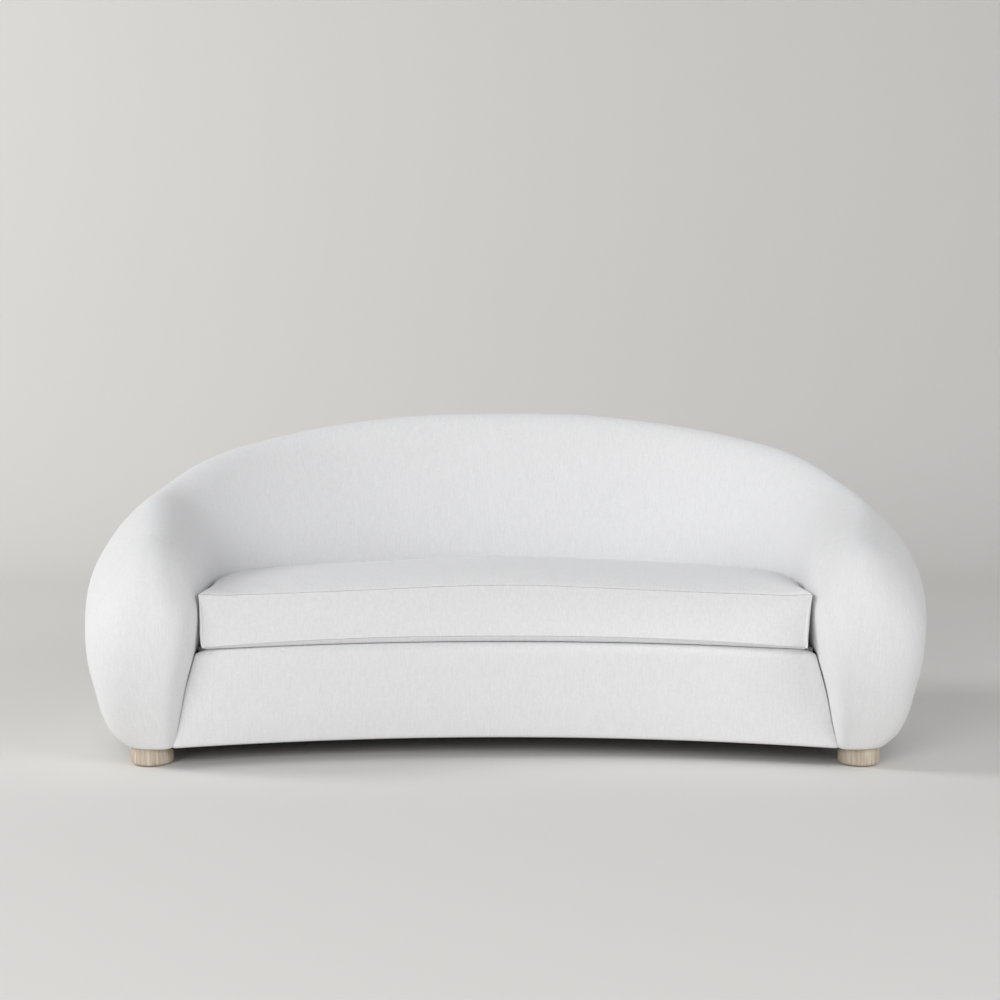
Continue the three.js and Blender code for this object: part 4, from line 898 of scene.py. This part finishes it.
edges = plan_sides(cushion_line, cushion_front, SIDE_SHARE, (400, 200))
plan = fill_plan(*edges, graded(CUSHION_WIDTH, CUSHION_STEP), graded(CUSHION_DEPTH, CUSHION_STEP))
plan_rows, plan_columns = plan.shape[:2]
ring = border_of(plan_rows, plan_columns)
outline = plan.reshape(-1, 2)[ring]
ring_steps = np.linalg.norm(np.roll(outline, -1, axis=0) - outline, axis=-1)
ring_lengths = np.cumsum(ring_steps) - ring_steps
apart = np.abs(ring_lengths[:, None] - ring_lengths[None])
apart = np.minimum(apart, ring_steps.sum() - apart)
turning = valley(apart, CORNER_TURN) * ring_steps[None]  # turns gently at the corners
outward = turning @ beside(outline)
outward /= np.linalg.norm(outward, axis=-1, keepdims=True)
to_outline = np.linalg.norm(plan.reshape(-1, 1, 2) - outline[None], axis=-1)
nearest = np.argmin(to_outline, axis=1)
distance = to_outline.min(axis=1).reshape(plan_rows, plan_columns)
to_corner = np.linalg.norm(np.abs(outline) * (1, 0) + outline * (0, 1) - cushion_corner, axis=-1)
at_corner = valley(to_corner, CORNER_WIDTH)
print("cushion plan", plan.shape, "outline of", len(ring), "points")


# %% Cushion start shape
DRAW_FADE = 0.12
CORNER_SINK, BACK_SINK = 0.0115, 0.006  # how far the lower seam drops at the front corners and behind
CROWN_CURVE = ([0, 0.004, 0.016, 0.052, 0.120, 0.210, 0.330],  # distances from the seam
               [0, 0.16, 0.42, 0.76, 0.94, 0.99, 1.0])  # and shares of the crown
BOXING_SHARES = (0.03, 0.08, 0.16, 0.27, 0.39, 0.50, 0.61, 0.73, 0.84, 0.92, 0.97)


def seam_height(x):
    """The upper seam rises towards the middle, and its front corners point up a little."""
    from_corner = cushion_corner[0] - np.abs(x)
    return (UPPER_SEAM + SEAM_RISE * valley(x, SEAM_RISE_WIDE)
            + CORNER_RISE * valley(from_corner, CORNER_RISE_WIDE))


def lower_seam_height(points):
    """The lower seam stands off the deck in the middle of the front and meets it at the corners."""
    at_front = smooth_between(0.10, -0.20, points[..., 1])
    along = np.abs(points[..., 0]) / cushion_corner[0]
    return (LOWER_SEAM - at_front * CORNER_SINK * np.clip(along, 0, 1) ** 3
            - (1 - at_front) * BACK_SINK)


def drawn_in(insets):
    """The plan with its outline drawn in by an inset for each of its points, less and less inwards."""
    moves = (-outward * insets[:, None])[nearest].reshape(*plan.shape)
    return plan + moves * valley(distance, DRAW_FADE)[..., None]


CORNER_DRAW = 0.009  # how far a corner tapers in from its top to its bottom
CORNER_OUT, CORNER_CUT = 0.003, 0.006  # how far the boxing swells and is cut back there
START_SHARE = 0.72  # of the crown, before the cushion is blown up
UNDER_ROUND = 0.022  # width of the rounding of the underside
on_side = smooth_between(0.0, 0.9, np.abs(outward[:, 0]))
side_gap = mix(SEAM_IN, SIDE_IN, on_side * valley(to_corner - 0.16, 0.10))
near_corner = valley(to_corner, mix(CORNER_WIDTH, 0.120, on_side))
top_insets = mix(side_gap, 0.0005, near_corner)
under_insets = mix(SEAM_IN, CORNER_DRAW + 0.004, at_corner)
crown_shape = np.interp(distance, *CROWN_CURVE)
top_z = seam_height(plan[..., 0]) + START_SHARE * CROWN * crown_shape
top_points = np.dstack([drawn_in(top_insets), top_z]).reshape(-1, 3)
seam_off_deck = lower_seam_height(plan) - CUSHION_BOTTOM
under_z = CUSHION_BOTTOM + seam_off_deck * np.clip(1 - distance / UNDER_ROUND, 0, 1) ** 1.7
under_points = np.dstack([drawn_in(under_insets), under_z]).reshape(-1, 3)
seam_top = top_points[ring]
seam_bottom = under_points[ring]
boxing = []
for share in BOXING_SHARES:
    level = mix(seam_bottom, seam_top, share)
    out = mix(SEAM_IN * 0.8, CORNER_OUT, at_corner) * math.sin(math.pi * share) ** 0.7
    cut = CORNER_CUT * at_corner * (1 - (1 - share) ** 8)
    level[:, :2] += outward * (out + cut * (1 - share))[:, None]
    boxing.append(level)
count = len(top_points)
cushion_points = np.concatenate([top_points, under_points] + boxing)
cushion_faces = grid_faces(plan_rows, plan_columns)
cushion_faces += [face[::-1] for face in grid_faces(plan_rows, plan_columns, start=count)]
levels = [[count + i for i in ring]]
levels += [[2 * count + k * len(ring) + i for i in range(len(ring))] for k in range(len(boxing))]
levels += [ring]
for low, high in zip(levels, levels[1:]):
    cushion_faces += band(low, high)
cushion_weave = np.stack([
    cushion_points[:, 0], cushion_points[:, 1] + cushion_points[:, 2],
    cushion_points[:, 2] - cushion_points[:, 1]], axis=-1) * 1000
cushion = new_piece("bench_cushion", cushion_points, cushion_faces, COVER_CLOTH, cushion_weave)
turn_faces_outwards(cushion, (0.0, 0.0, 2.0))
print("cushion starts with", len(cushion_points), "points")

# %% [markdown]
# The simulation holds the seams in a pin group, blows the cushion up from inside and runs without
# gravity. Every point's way is then capped, held inside the walls and kept off the deck, because a
# cushion in its place is squeezed by what is round it.


# %% Cushion simulation
CLOTH_SETTINGS = {
    "quality": 6, "mass": 0.4, "tension_stiffness": 12, "compression_stiffness": 8, "shear_stiffness": 6,
    "bending_stiffness": 3, "use_pressure": True, "vertex_group_mass": "seams", "pin_stiffness": 1.0,
    "shrink_min": -0.006}


def inflate(piece, pinned, pressure, frames):
    """Cloth simulation with pressure; returns the moved points."""
    group = piece.vertex_groups.new(name="seams")
    group.add([int(i) for i in pinned], 1.0, "REPLACE")
    cloth = piece.modifiers.new("cloth", "CLOTH")
    for setting, value in CLOTH_SETTINGS.items():
        setattr(cloth.settings, setting, value)
    cloth.settings.uniform_pressure_force = pressure
    cloth.settings.effector_weights.gravity = 0.0
    cloth.collision_settings.use_collision = False
    cloth.point_cache.frame_start, cloth.point_cache.frame_end = 1, frames
    scene = bpy.context.scene
    for number in range(1, frames + 1):
        scene.frame_set(number)
    apply_modifiers(piece)
    piece.vertex_groups.clear()
    scene.frame_set(1)
    moved = np.empty(len(piece.data.vertices) * 3)
    piece.data.vertices.foreach_get("co", moved)
    return moved.reshape(-1, 3)


SWELL_CAP = 0.024
RISE_LIMIT = 1.25  # of what is left to raise
UPPER_STITCH, LOWER_STITCH = 0.0004, 0.0003  # how far the stitching pulls each seam in
TOP_TARGET = (1 - START_SHARE) * CROWN  # what is left for the simulation to raise
start = cushion_points.copy()
moved = inflate(cushion, ring + [count + i for i in ring], pressure=4.0, frames=20)
way = moved - start
far = np.linalg.norm(way, axis=1, keepdims=True)
way *= SWELL_CAP * np.tanh(far / SWELL_CAP) / np.maximum(far, 1e-9)
swelled = start + way
middle_rise = way[:count, 2].max()
print("cushion swells by up to", round(float(np.linalg.norm(way, axis=1).max()) * 1000, 1), "mm")

# %% Cushion in its place
WALL_ROOM = 0.0012
PUCKER, PUCKER_SIZE, PUCKER_AT = 0.0005, 0.055, 0.016

swelled[:count, 2] = start[:count, 2] + way[:count, 2] * min(1.0, RISE_LIMIT * TOP_TARGET / middle_rise)
swelled[count:2 * count] = start[count:2 * count]
wall_ring = outline + outward * WALL_ROOM
zip_side = (outline[:, 1] > 0.1) & (np.abs(outline[:, 0]) < ZIP_HALF + 0.02)
for k in range(len(boxing)):
    part = slice(2 * count + k * len(ring), 2 * count + (k + 1) * len(ring))
    level = swelled[part]
    beyond = np.sum((level[:, :2] - wall_ring) * outward, axis=1)
    level[:, :2] -= outward * np.maximum(0.0, beyond)[:, None]
    level[zip_side] = start[part][zip_side]
    swelled[part] = level
pucker = humps(swelled[:count] * (1, 1, 0), (PUCKER, PUCKER_SIZE, 21))
swelled[:count, 2] += pucker * valley(distance.reshape(-1) - PUCKER_AT, PUCKER_AT)
for part, depth in ((np.array(ring), UPPER_STITCH), (count + np.array(ring), LOWER_STITCH)):
    swelled[part, :2] -= outward * (depth * (1 - at_corner))[:, None]
cushion.data.vertices.foreach_set("co", swelled.ravel())
subdivide = cushion.modifiers.new("fine_surface", "SUBSURF")
subdivide.levels = subdivide.render_levels = 1
apply_modifiers(cushion)
cushion.data.shade_smooth()
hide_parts("cushion_cover", "cushion_wrap", "cushion_core")
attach(cushion, "seat_cushion")
print("bench_cushion:", len(cushion.data.polygons), "faces")

# %% [markdown]
# ## Feet
# The feet are short pucks of oak, turned on a lathe with their grain upright and bleached to a pale grey
# beige. Spinning a profile is how they are made, so it is how they are drawn.

# %% Wood material
GRAIN = 7.0  # millimetres between the stronger grain lines
STREAK = 14  # times longer than wide


def object_place(tree):
    return add_node(tree, "ShaderNodeTexCoord").outputs["Object"]


def wood_material(name, light, dark, grain=GRAIN, roughness=0.55, axis=2):
    """Planed or turned wood: long streaks along the grain, with fine pores between them."""
    material, tree, shader = new_material(name, Roughness=roughness)
    place = object_place(tree)
    shares = [1000 / grain] * 3
    shares[axis] /= STREAK
    streaks = noise(tree, place, shares, Detail=4.0, Roughness=0.62, Distortion=0.6)
    pores = noise(tree, place, shares, Scale=5.0, Detail=2.0, Roughness=0.5)
    tone = spread(tree, streaks, From_Min=0.32, From_Max=0.68)
    paint(tree, shader, tone, dark, light, pores, strength=0.35, distance=0.0004)
    return material


WASHED_OAK = wood_material("bleached_turned_oak", "D8CDBC", "AF9F89")
print("grain lines every", GRAIN, "mm")

# %% Turned feet
FOOT_CENTRES = {"front": (0.850, -0.335), "rear": (0.647188, 0.263896)}
FOOT_RADIUS = 0.0495
FOOT_ROUND = 0.008
FOOT_LOW, FOOT_TOP = 0.002, 0.0452
FOOT_EDGE, GLIDE_SINK = 0.0022, 0.0022  # the upper edge's rounding, and the hollow for the glide
GLIDE_RADIUS, BOLT_HOLE = 0.034, 0.0045
FOOT_SIDES = 96


def foot_profile():
    """(radius, height) from the middle of the underside to the middle of the top."""
    points = [(0.0, FOOT_LOW + GLIDE_SINK), (GLIDE_RADIUS + 0.0003, FOOT_LOW + GLIDE_SINK)]
    points += [(GLIDE_RADIUS + 0.0008, FOOT_LOW + 0.0002), (FOOT_RADIUS - FOOT_ROUND - 0.002, FOOT_LOW)]
    for angle in np.radians(np.linspace(0, 90, 9)):
        points.append((FOOT_RADIUS - FOOT_ROUND * (1 - math.sin(angle)),
                       FOOT_LOW + FOOT_ROUND * (1 - math.cos(angle))))
    points += [(FOOT_RADIUS, mix(FOOT_LOW, FOOT_TOP, 0.5)), (FOOT_RADIUS, FOOT_TOP - FOOT_EDGE)]
    points += [(FOOT_RADIUS - 0.0007, FOOT_TOP - 0.0006), (FOOT_RADIUS - FOOT_EDGE, FOOT_TOP)]
    points += [(BOLT_HOLE, FOOT_TOP), (0.0, FOOT_TOP)]
    return points


def turned(name, profile, centre, material, sides=FOOT_SIDES):
    """A closed body of revolution about an upright axis."""
    points = [(centre[0], centre[1], profile[0][1]), (centre[0], centre[1], profile[-1][1])]
    rings = profile[1:-1]
    for radius, z in rings:
        for k in range(sides):
            angle = 2 * math.pi * k / sides
            points.append(
                (centre[0] + radius * math.cos(angle), centre[1] + radius * math.sin(angle), z))
    loops = [[2 + r * sides + k for k in range(sides)] for r in range(len(rings))]
    faces = [[a, 0, b] for a, b in zip(loops[0], loops[0][1:] + loops[0][:1])]
    for low, high in zip(loops, loops[1:]):
        faces += band(low, high)
    faces += [[a, b, 1] for a, b in zip(loops[-1], loops[-1][1:] + loops[-1][:1])]
    piece = new_piece(name, points, faces, material)
    turn_faces_outwards(piece, (centre[0], centre[1], -1.0))
    return piece


for end, (x, y) in FOOT_CENTRES.items():
    for side, sign in (("left", -1), ("right", 1)):
        foot = turned(f"turned_foot_{end}_{side}", foot_profile(), (sign * x, y), WASHED_OAK)
        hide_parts(f"foot_{end}_{side}")
        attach(foot, "frame")
print("four feet of", len(foot_profile()), "profile points")

# %% [markdown]
# ## The inside of the sofa
# The wooden frame, the webbing, the bolts and the dust cover keep their own shapes. They only need the
# materials of the real thing, because they show from below or when the cushion is off.

# %% Inside materials
BANDS = 20  # that Blender's wave texture fits into one unit
PLYWOOD = wood_material("birch_plywood", "D9C19A", "C2A377", grain=11.0, roughness=0.7, axis=0)
PINE = wood_material("planed_pine", "DCC08E", "C49C62", grain=14.0, roughness=0.72, axis=0)


def object_cloth_material(name, light, dark, thread, relief=0.3, roughness=0.9):
    """Cloth on a flat piece, with its threads along the object's own axes."""
    material, tree, shader = new_material(name, Roughness=roughness, Specular_IOR_Level=0.3)
    place = object_place(tree)
    threads = [add_node(
        tree, "ShaderNodeTexWave", {"bands_direction": axis}, Vector=place, Scale=1000 / thread / BANDS,
        Distortion=0.4, Detail=1.0).outputs["Fac"] for axis in "XY"]
    height = calc(tree, "MULTIPLY", *threads)
    paint(tree, shader, height, dark, light, height, strength=0.5, distance=relief * 0.001)
    return material


def metal_material(name, light, roughness):
    """Bright zinc: small soft clouds in its gloss from handling."""
    material, tree, shader = new_material(name, Metallic=1.0, Base_Color=colour(light))
    clouds = add_node(tree, "ShaderNodeTexNoise", Vector=object_place(tree), Scale=400.0, Detail=3.0)
    gloss = spread(tree, clouds.outputs["Fac"], To_Min=roughness - 0.08, To_Max=roughness + 0.10)
    tree.links.new(gloss, shader.inputs["Roughness"])
    return material


WEBBING = object_cloth_material("elastic_webbing", "3A383A", "1F1D1F", 3.0)
DUST_CLOTH = object_cloth_material("black_dust_cloth", "2B2B2D", "19191B", 2.4)
FELT = object_cloth_material("pressed_wool_felt", "8A857D", "6C6861", 1.6)
NYLON = object_cloth_material("woven_nylon_tape", "F2F0EC", "E2DFDA", 1.4, roughness=0.6)
ZINC = metal_material("zinc_plated_steel", "C4C5C6", 0.34)
print("inside materials ready")

# %% Give the frame its materials
INSIDE = [
    (("base_board", "rib_", "top_rail"), PLYWOOD),
    (("seat_rail", "front_rail", "stretcher", "foot_block"), PINE),
    (("long_web", "cross_web"), WEBBING),
    (("foot_bolt", "zip_slider", "zip_pull"), ZINC),
    (("glide_",), FELT),
]
dressed = 0
for node_name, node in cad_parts.items():
    for beginnings, material in INSIDE:
        if node_name.startswith(beginnings):
            for slot in node.material_slots:
                slot.material = material
            dressed += 1
print(dressed, "nodes have their material")

# %% [markdown]
# ## The dust cover
# A black cloth closes the underside. It is cut to the sofa's outline, stretched and stapled all round,
# so it is a nearly flat sheet that sags a few millimetres between its edge and the feet. Its outline is
# the shell's own bottom line drawn in, and the sheet is triangulated between that line and even points
# inside it.

# %% Dust cover outline
DUST_INSET, DUST_HEM, DUST_STEP, DUST_SAG, DUST_THICK = 0.045, 0.014, 0.020, 0.003, 0.0008
dust_low, dust_high = (np.array(corner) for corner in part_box("dust_cover"))
feet_centres = np.array([
    np.mean(np.array(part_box(f"foot_{end}_{side}"))[:, :2], axis=0)
    for end in ("front", "rear") for side in ("left", "right")])
outer_line = shell_points(np.linspace(-TIP, TIP, 600), [LAST_SHARE], DUST_INSET)[:, 0, :2]
front_x = np.linspace(BORDER_HALF, -BORDER_HALF, 200)
front_line = np.stack([front_x, border_y(front_x) + DUST_HEM], axis=-1)
dust_outline = np.concatenate([outer_line, front_line, outer_line[:1]])
dust_round = lengths_along(dust_outline)[-1]
dust_outline = even_steps(dust_outline, int(round(dust_round / DUST_STEP)) + 1)[:-1]
after = np.roll(dust_outline, -1, axis=0)

# %% Dust cover
FOOT_CLEAR = 0.060  # from a foot's middle, where the cloth neither sags nor is stapled

dust_low_xy, dust_high_xy = dust_outline.min(axis=0), dust_outline.max(axis=0)
inside = np.stack(np.meshgrid(
    np.arange(dust_low_xy[0], dust_high_xy[0], DUST_STEP),
    np.arange(dust_low_xy[1], dust_high_xy[1], DUST_STEP)), axis=-1).reshape(-1, 2)
crossings = np.zeros(len(inside), int)
for (x1, y1), (x2, y2) in zip(dust_outline, after):
    spans = (y1 > inside[:, 1]) != (y2 > inside[:, 1])
    crossings += spans & (inside[:, 0] < x1 + (inside[:, 1] - y1) * (x2 - x1) / (y2 - y1 + 1e-12))
inside = inside[(crossings % 2 == 1) & (gap_to(inside, dust_outline) > DUST_STEP * 0.6)]
corners, _, triangles, *_ = delaunay_2d_cdt(
    [Vector(p) for p in [*dust_outline, *inside]], [], [list(range(len(dust_outline)))], 1, 1e-6)
corners = np.array([tuple(c) for c in corners])
from_edge, from_foot = gap_to(corners, dust_outline), gap_to(corners, feet_centres)
sag = DUST_SAG * smooth_between(0.0, 0.14, from_edge) * smooth_between(FOOT_CLEAR, 0.160, from_foot)
ripple = humps(np.c_[corners, from_edge * 0], (0.0004, 0.07, 31))
sag += ripple * smooth_between(0.0, 0.03, from_edge) * smooth_between(FOOT_CLEAR, 0.100, from_foot)
middle_z = (dust_low[2] + dust_high[2]) / 2
dust_sheet = new_piece(
    "stapled_dust_cover", np.c_[corners, middle_z - np.abs(sag)], triangles, DUST_CLOTH)
turn_faces_outwards(dust_sheet, (0.0, 0.0, -1.0))
solidify = dust_sheet.modifiers.new("cloth_thickness", "SOLIDIFY")
solidify.thickness, solidify.offset = DUST_THICK, 0.0
apply_modifiers(dust_sheet)
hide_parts("dust_cover")
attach(dust_sheet, "frame")

# %% [markdown]
# ## What follows a line: staples and the zip
# Staples, zip coils and stitches repeat along a line, which is what Geometry Nodes are for. Each tree
# takes a path and named sizes, puts its small parts along the path, makes them real and gives them
# their material. The result is turned into a plain mesh.


# %% Trees along a path
def new_tree(name, sizes):
    """A geometry tree that takes a path and named sizes, with its inputs by name and the path's line."""
    tree = bpy.data.node_groups.new(name, "GeometryNodeTree")
    tree.interface.new_socket("Path", in_out="INPUT", socket_type="NodeSocketGeometry")
    for size in sizes:
        tree.interface.new_socket(size, in_out="INPUT", socket_type="NodeSocketFloat")
    tree.interface.new_socket("Piece", in_out="OUTPUT", socket_type="NodeSocketGeometry")
    given = tree.nodes.new("NodeGroupInput").outputs
    line = add_node(tree, "GeometryNodeMeshToCurve", Mesh=given["Path"])
    return tree, given, line.outputs["Curve"]


def finish_tree(tree, parts, material):
    joined = add_node(tree, "GeometryNodeJoinGeometry")
    for part in parts:
        tree.links.new(part, joined.inputs[0])
    real = add_node(tree, "GeometryNodeRealizeInstances", Geometry=joined.outputs[0])
    dressed_parts = add_node(
        tree, "GeometryNodeSetMaterial", Geometry=real.outputs[0], Material=material)
    add_node(tree, "NodeGroupOutput", Piece=dressed_parts.outputs[0])


def grown_piece(name, points, edges, tree, sizes):
    """The plain mesh that a tree makes along a line of points."""
    mesh = bpy.data.meshes.new(name)
    mesh.from_pydata(np.asarray(points, float).tolist(), edges, [])
    piece = bpy.data.objects.new(name, mesh)
    bpy.context.scene.collection.objects.link(piece)
    modifier = piece.modifiers.new(name, "NODES")
    modifier.node_group = tree
    for item in tree.interface.items_tree:
        if item.in_out == "INPUT" and item.name in sizes:
            modifier[item.identifier] = sizes[item.name]
    apply_modifiers(piece)
    piece.data.shade_smooth()
    return piece


def parts_along(tree, given, line, step, sizes):
    """Small rounded parts every step along a line, turned with it; their sizes are along, out and up."""
    part = add_node(tree, "GeometryNodeMeshUVSphere", Segments=8, Rings=6, Radius=0.5)
    scale = add_node(
        tree, "ShaderNodeCombineXYZ", **{axis: given[size] for axis, size in zip("XYZ", sizes)})
    spots = add_node(
        tree, "GeometryNodeCurveToPoints", {"mode": "LENGTH"}, Curve=line, Length=given[step])
    heading = add_node(
        tree, "FunctionNodeAlignRotationToVector", {"axis": "X"}, Vector=spots.outputs["Tangent"])
    return add_node(
        tree, "GeometryNodeInstanceOnPoints", Points=spots.outputs["Points"],
        Instance=part.outputs["Mesh"], Scale=scale.outputs[0],
        Rotation=heading.outputs[0]).outputs["Instances"]


def shifted(tree, line, out, up):
    """The line moved sideways, away from the arc's centre, and up."""
    tangent = add_node(tree, "GeometryNodeInputTangent").outputs[0]
    sideways = calc(tree, "CROSS_PRODUCT", (0.0, 0.0, 1.0), tangent, kind="ShaderNodeVectorMath")
    far_out = add_node(
        tree, "ShaderNodeVectorMath", {"operation": "SCALE"}, _0=sideways, Scale=out).outputs[0]
    rise = add_node(tree, "ShaderNodeCombineXYZ", Z=up).outputs[0]
    move = calc(tree, "ADD", far_out, rise, kind="ShaderNodeVectorMath")
    return add_node(tree, "GeometryNodeSetPosition", Geometry=line, Offset=move).outputs[0]


print("tree helpers ready")

# %% Staples
STAPLE_IN = 0.007  # from the cloth's edge
STAPLE_SIZES = {"Step": 0.038, "Length": 0.0105, "Wire": 0.0009}
tree, given, line = new_tree("staples_along_edge", STAPLE_SIZES)
finish_tree(tree, [parts_along(tree, given, line, "Step", ("Length", "Wire", "Wire"))], ZINC)
inward = beside(dust_outline)
if np.sum(inward * (dust_outline - dust_outline.mean(axis=0))) > 0:
    inward = -inward
staple_line = dust_outline + inward * STAPLE_IN
clear = gap_to(staple_line, feet_centres) > FOOT_CLEAR
clear &= np.roll(clear, 1) & np.roll(clear, -1)
staple_z = middle_z - DUST_THICK / 2 - STAPLE_SIZES["Wire"] * 0.15
following = np.roll(np.arange(len(clear)), -1)
staple_edges = [(int(i), int(j)) for i, j in enumerate(following) if clear[i] and clear[j]]
staples = grown_piece(
    "dust_cover_staples", np.c_[staple_line, np.full(len(staple_line), staple_z)], staple_edges, tree,
    STAPLE_SIZES)
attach(staples, "frame")
print("staples:", len(staples.data.polygons), "faces")

# %% [markdown]
# The zip lies on a true arc in the cushion's back: a nylon tape, two rows of coils that interlock, and
# a row of stitches along each edge of the tape. The slider and its pull are the frame's own, in zinc.

# %% Zip tree
ZIP_SIZES = {
    "Tape Width": 0.028, "Tape Thickness": 0.0010, "Coil Step": 0.0026, "Coil Width": 0.0034,
    "Coil Thickness": 0.0018, "Coil Offset": 0.0007, "Proud": 0.0011, "Stitch Step": 0.0034,
    "Stitch Length": 0.0026, "Stitch Thickness": 0.0006, "Stitch Offset": 0.0118}
tree, given, line = new_tree("zip_along_arc", ZIP_SIZES)
upright = add_node(tree, "GeometryNodeSetCurveNormal", {"mode": "Z_UP"}, Curve=line)
profile = add_node(
    tree, "GeometryNodeCurvePrimitiveQuadrilateral", Width=given["Tape Thickness"],
    Height=given["Tape Width"])
tape = add_node(
    tree, "GeometryNodeCurveToMesh", Curve=upright.outputs[0], Profile_Curve=profile.outputs[0],
    Fill_Caps=True)
flat_tape = add_node(tree, "GeometryNodeSetShadeSmooth", Geometry=tape.outputs[0], Shade_Smooth=False)
zip_parts = [flat_tape.outputs[0]]
coils = parts_along(
    tree, given, shifted(tree, line, given["Proud"], 0.0), "Coil Step",
    ("Coil Step", "Coil Thickness", "Coil Width"))
odd = calc(tree, "PINGPONG", add_node(tree, "GeometryNodeInputIndex").outputs[0], 1.0)
to_side = calc(tree, "MULTIPLY", spread(tree, odd, To_Min=-1.0, To_Max=1.0), given["Coil Offset"])
coil_move = add_node(tree, "ShaderNodeCombineXYZ", Z=to_side)
zip_parts.append(add_node(
    tree, "GeometryNodeTranslateInstances", Instances=coils, Translation=coil_move.outputs[0],
    Local_Space=False).outputs[0])
half = calc(tree, "MULTIPLY", given["Tape Thickness"], 0.5)
for sign in (-1.0, 1.0):
    row_line = shifted(tree, line, half, calc(tree, "MULTIPLY", given["Stitch Offset"], sign))
    zip_parts.append(parts_along(
        tree, given, row_line, "Stitch Step", ("Stitch Length", "Stitch Thickness", "Stitch Thickness")))
finish_tree(tree, zip_parts, NYLON)
print("zip tree of", len(tree.nodes), "nodes")

# %% Zip piece
ZIP_TAPE_OUT = -0.0011  # from the arc that the slider runs on to the middle of the tape
zip_sweep = math.asin(ZIP_HALF / ZIP_RADIUS) - 0.0003 / ZIP_RADIUS
angles = np.linspace(-zip_sweep, zip_sweep, 160)
zip_radius = ZIP_RADIUS + ZIP_TAPE_OUT
zip_line = np.stack([zip_radius * np.sin(angles), ZIP_CENTRE_Y + zip_radius * np.cos(angles),
                     np.full(len(angles), ZIP_HEIGHT)], axis=-1)
zip_piece = grown_piece(
    "zip_tape_and_coils", zip_line, [(i, i + 1) for i in range(len(angles) - 1)], tree, ZIP_SIZES)
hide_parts("zip_tape")
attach(zip_piece, "seat_cushion")
print("zip:", len(zip_piece.data.polygons), "faces")

# %% [markdown]
# ## Floor and light
# The sofa stands on a plain pale floor that curves up behind it. A soft lamp shines from the upper left,
# as daylight from a tall window would, two large ones fill from the front, and the world fills the
# shade.

# %% Floor
FLOOR_REACH, FLOOR_BEND_Y, FLOOR_BEND, FLOOR_HEIGHT = 9.0, 3.2, 1.2, 7.0
PALE_FLOOR = new_material("pale_floor", Roughness=0.9, Base_Color=colour("E6E4E1"))[0]

sweep = [(-FLOOR_REACH, 0.0), (FLOOR_BEND_Y, 0.0)]
sweep += [(FLOOR_BEND_Y + FLOOR_BEND * math.sin(a), FLOOR_BEND * (1 - math.cos(a)))
          for a in np.radians(np.arange(9, 91, 9))]
sweep += [(FLOOR_BEND_Y + FLOOR_BEND, FLOOR_HEIGHT)]
floor_points = [(x, y, z) for y, z in sweep for x in (-FLOOR_REACH, FLOOR_REACH)]
floor = new_piece("studio_floor", floor_points, grid_faces(len(sweep), 2), PALE_FLOOR)
turn_faces_outwards(floor, (0.0, 0.0, 3.0))
print("floor of", len(sweep), "strips")


# %% Lamps
LAMP_TARGET = Vector((0.1, 0.0, 0.4))
LAMPS = [  # name, place, size and watts
    ("window_light", (-7.8, -0.6, 4.9), 2.2, 305),
    ("front_left_light", (-2.9, -6.2, 2.5), 3.0, 160),
    ("front_right_light", (4.9, -4.6, 3.1), 3.0, 152)]
WORLD_COLOUR, WORLD_STRENGTH = "F5F6F8", 0.30

for name, place, size, watts in LAMPS:
    lamp = bpy.data.lights.new(name, "AREA")
    lamp.size, lamp.energy = size, watts
    lamp_object = bpy.data.objects.new(name, lamp)
    lamp_object.location = place
    lamp_object.rotation_euler = (LAMP_TARGET - Vector(place)).to_track_quat("-Z", "Y").to_euler()
    bpy.context.scene.collection.objects.link(lamp_object)
world = bpy.data.worlds.new("studio")
world.use_nodes = True
background = world.node_tree.nodes["Background"]
background.inputs["Color"].default_value = colour(WORLD_COLOUR)
background.inputs["Strength"].default_value = WORLD_STRENGTH
bpy.context.scene.world = world
bpy.context.scene.view_settings.view_transform = "Standard"
print(len(LAMPS), "lamps and a pale world")
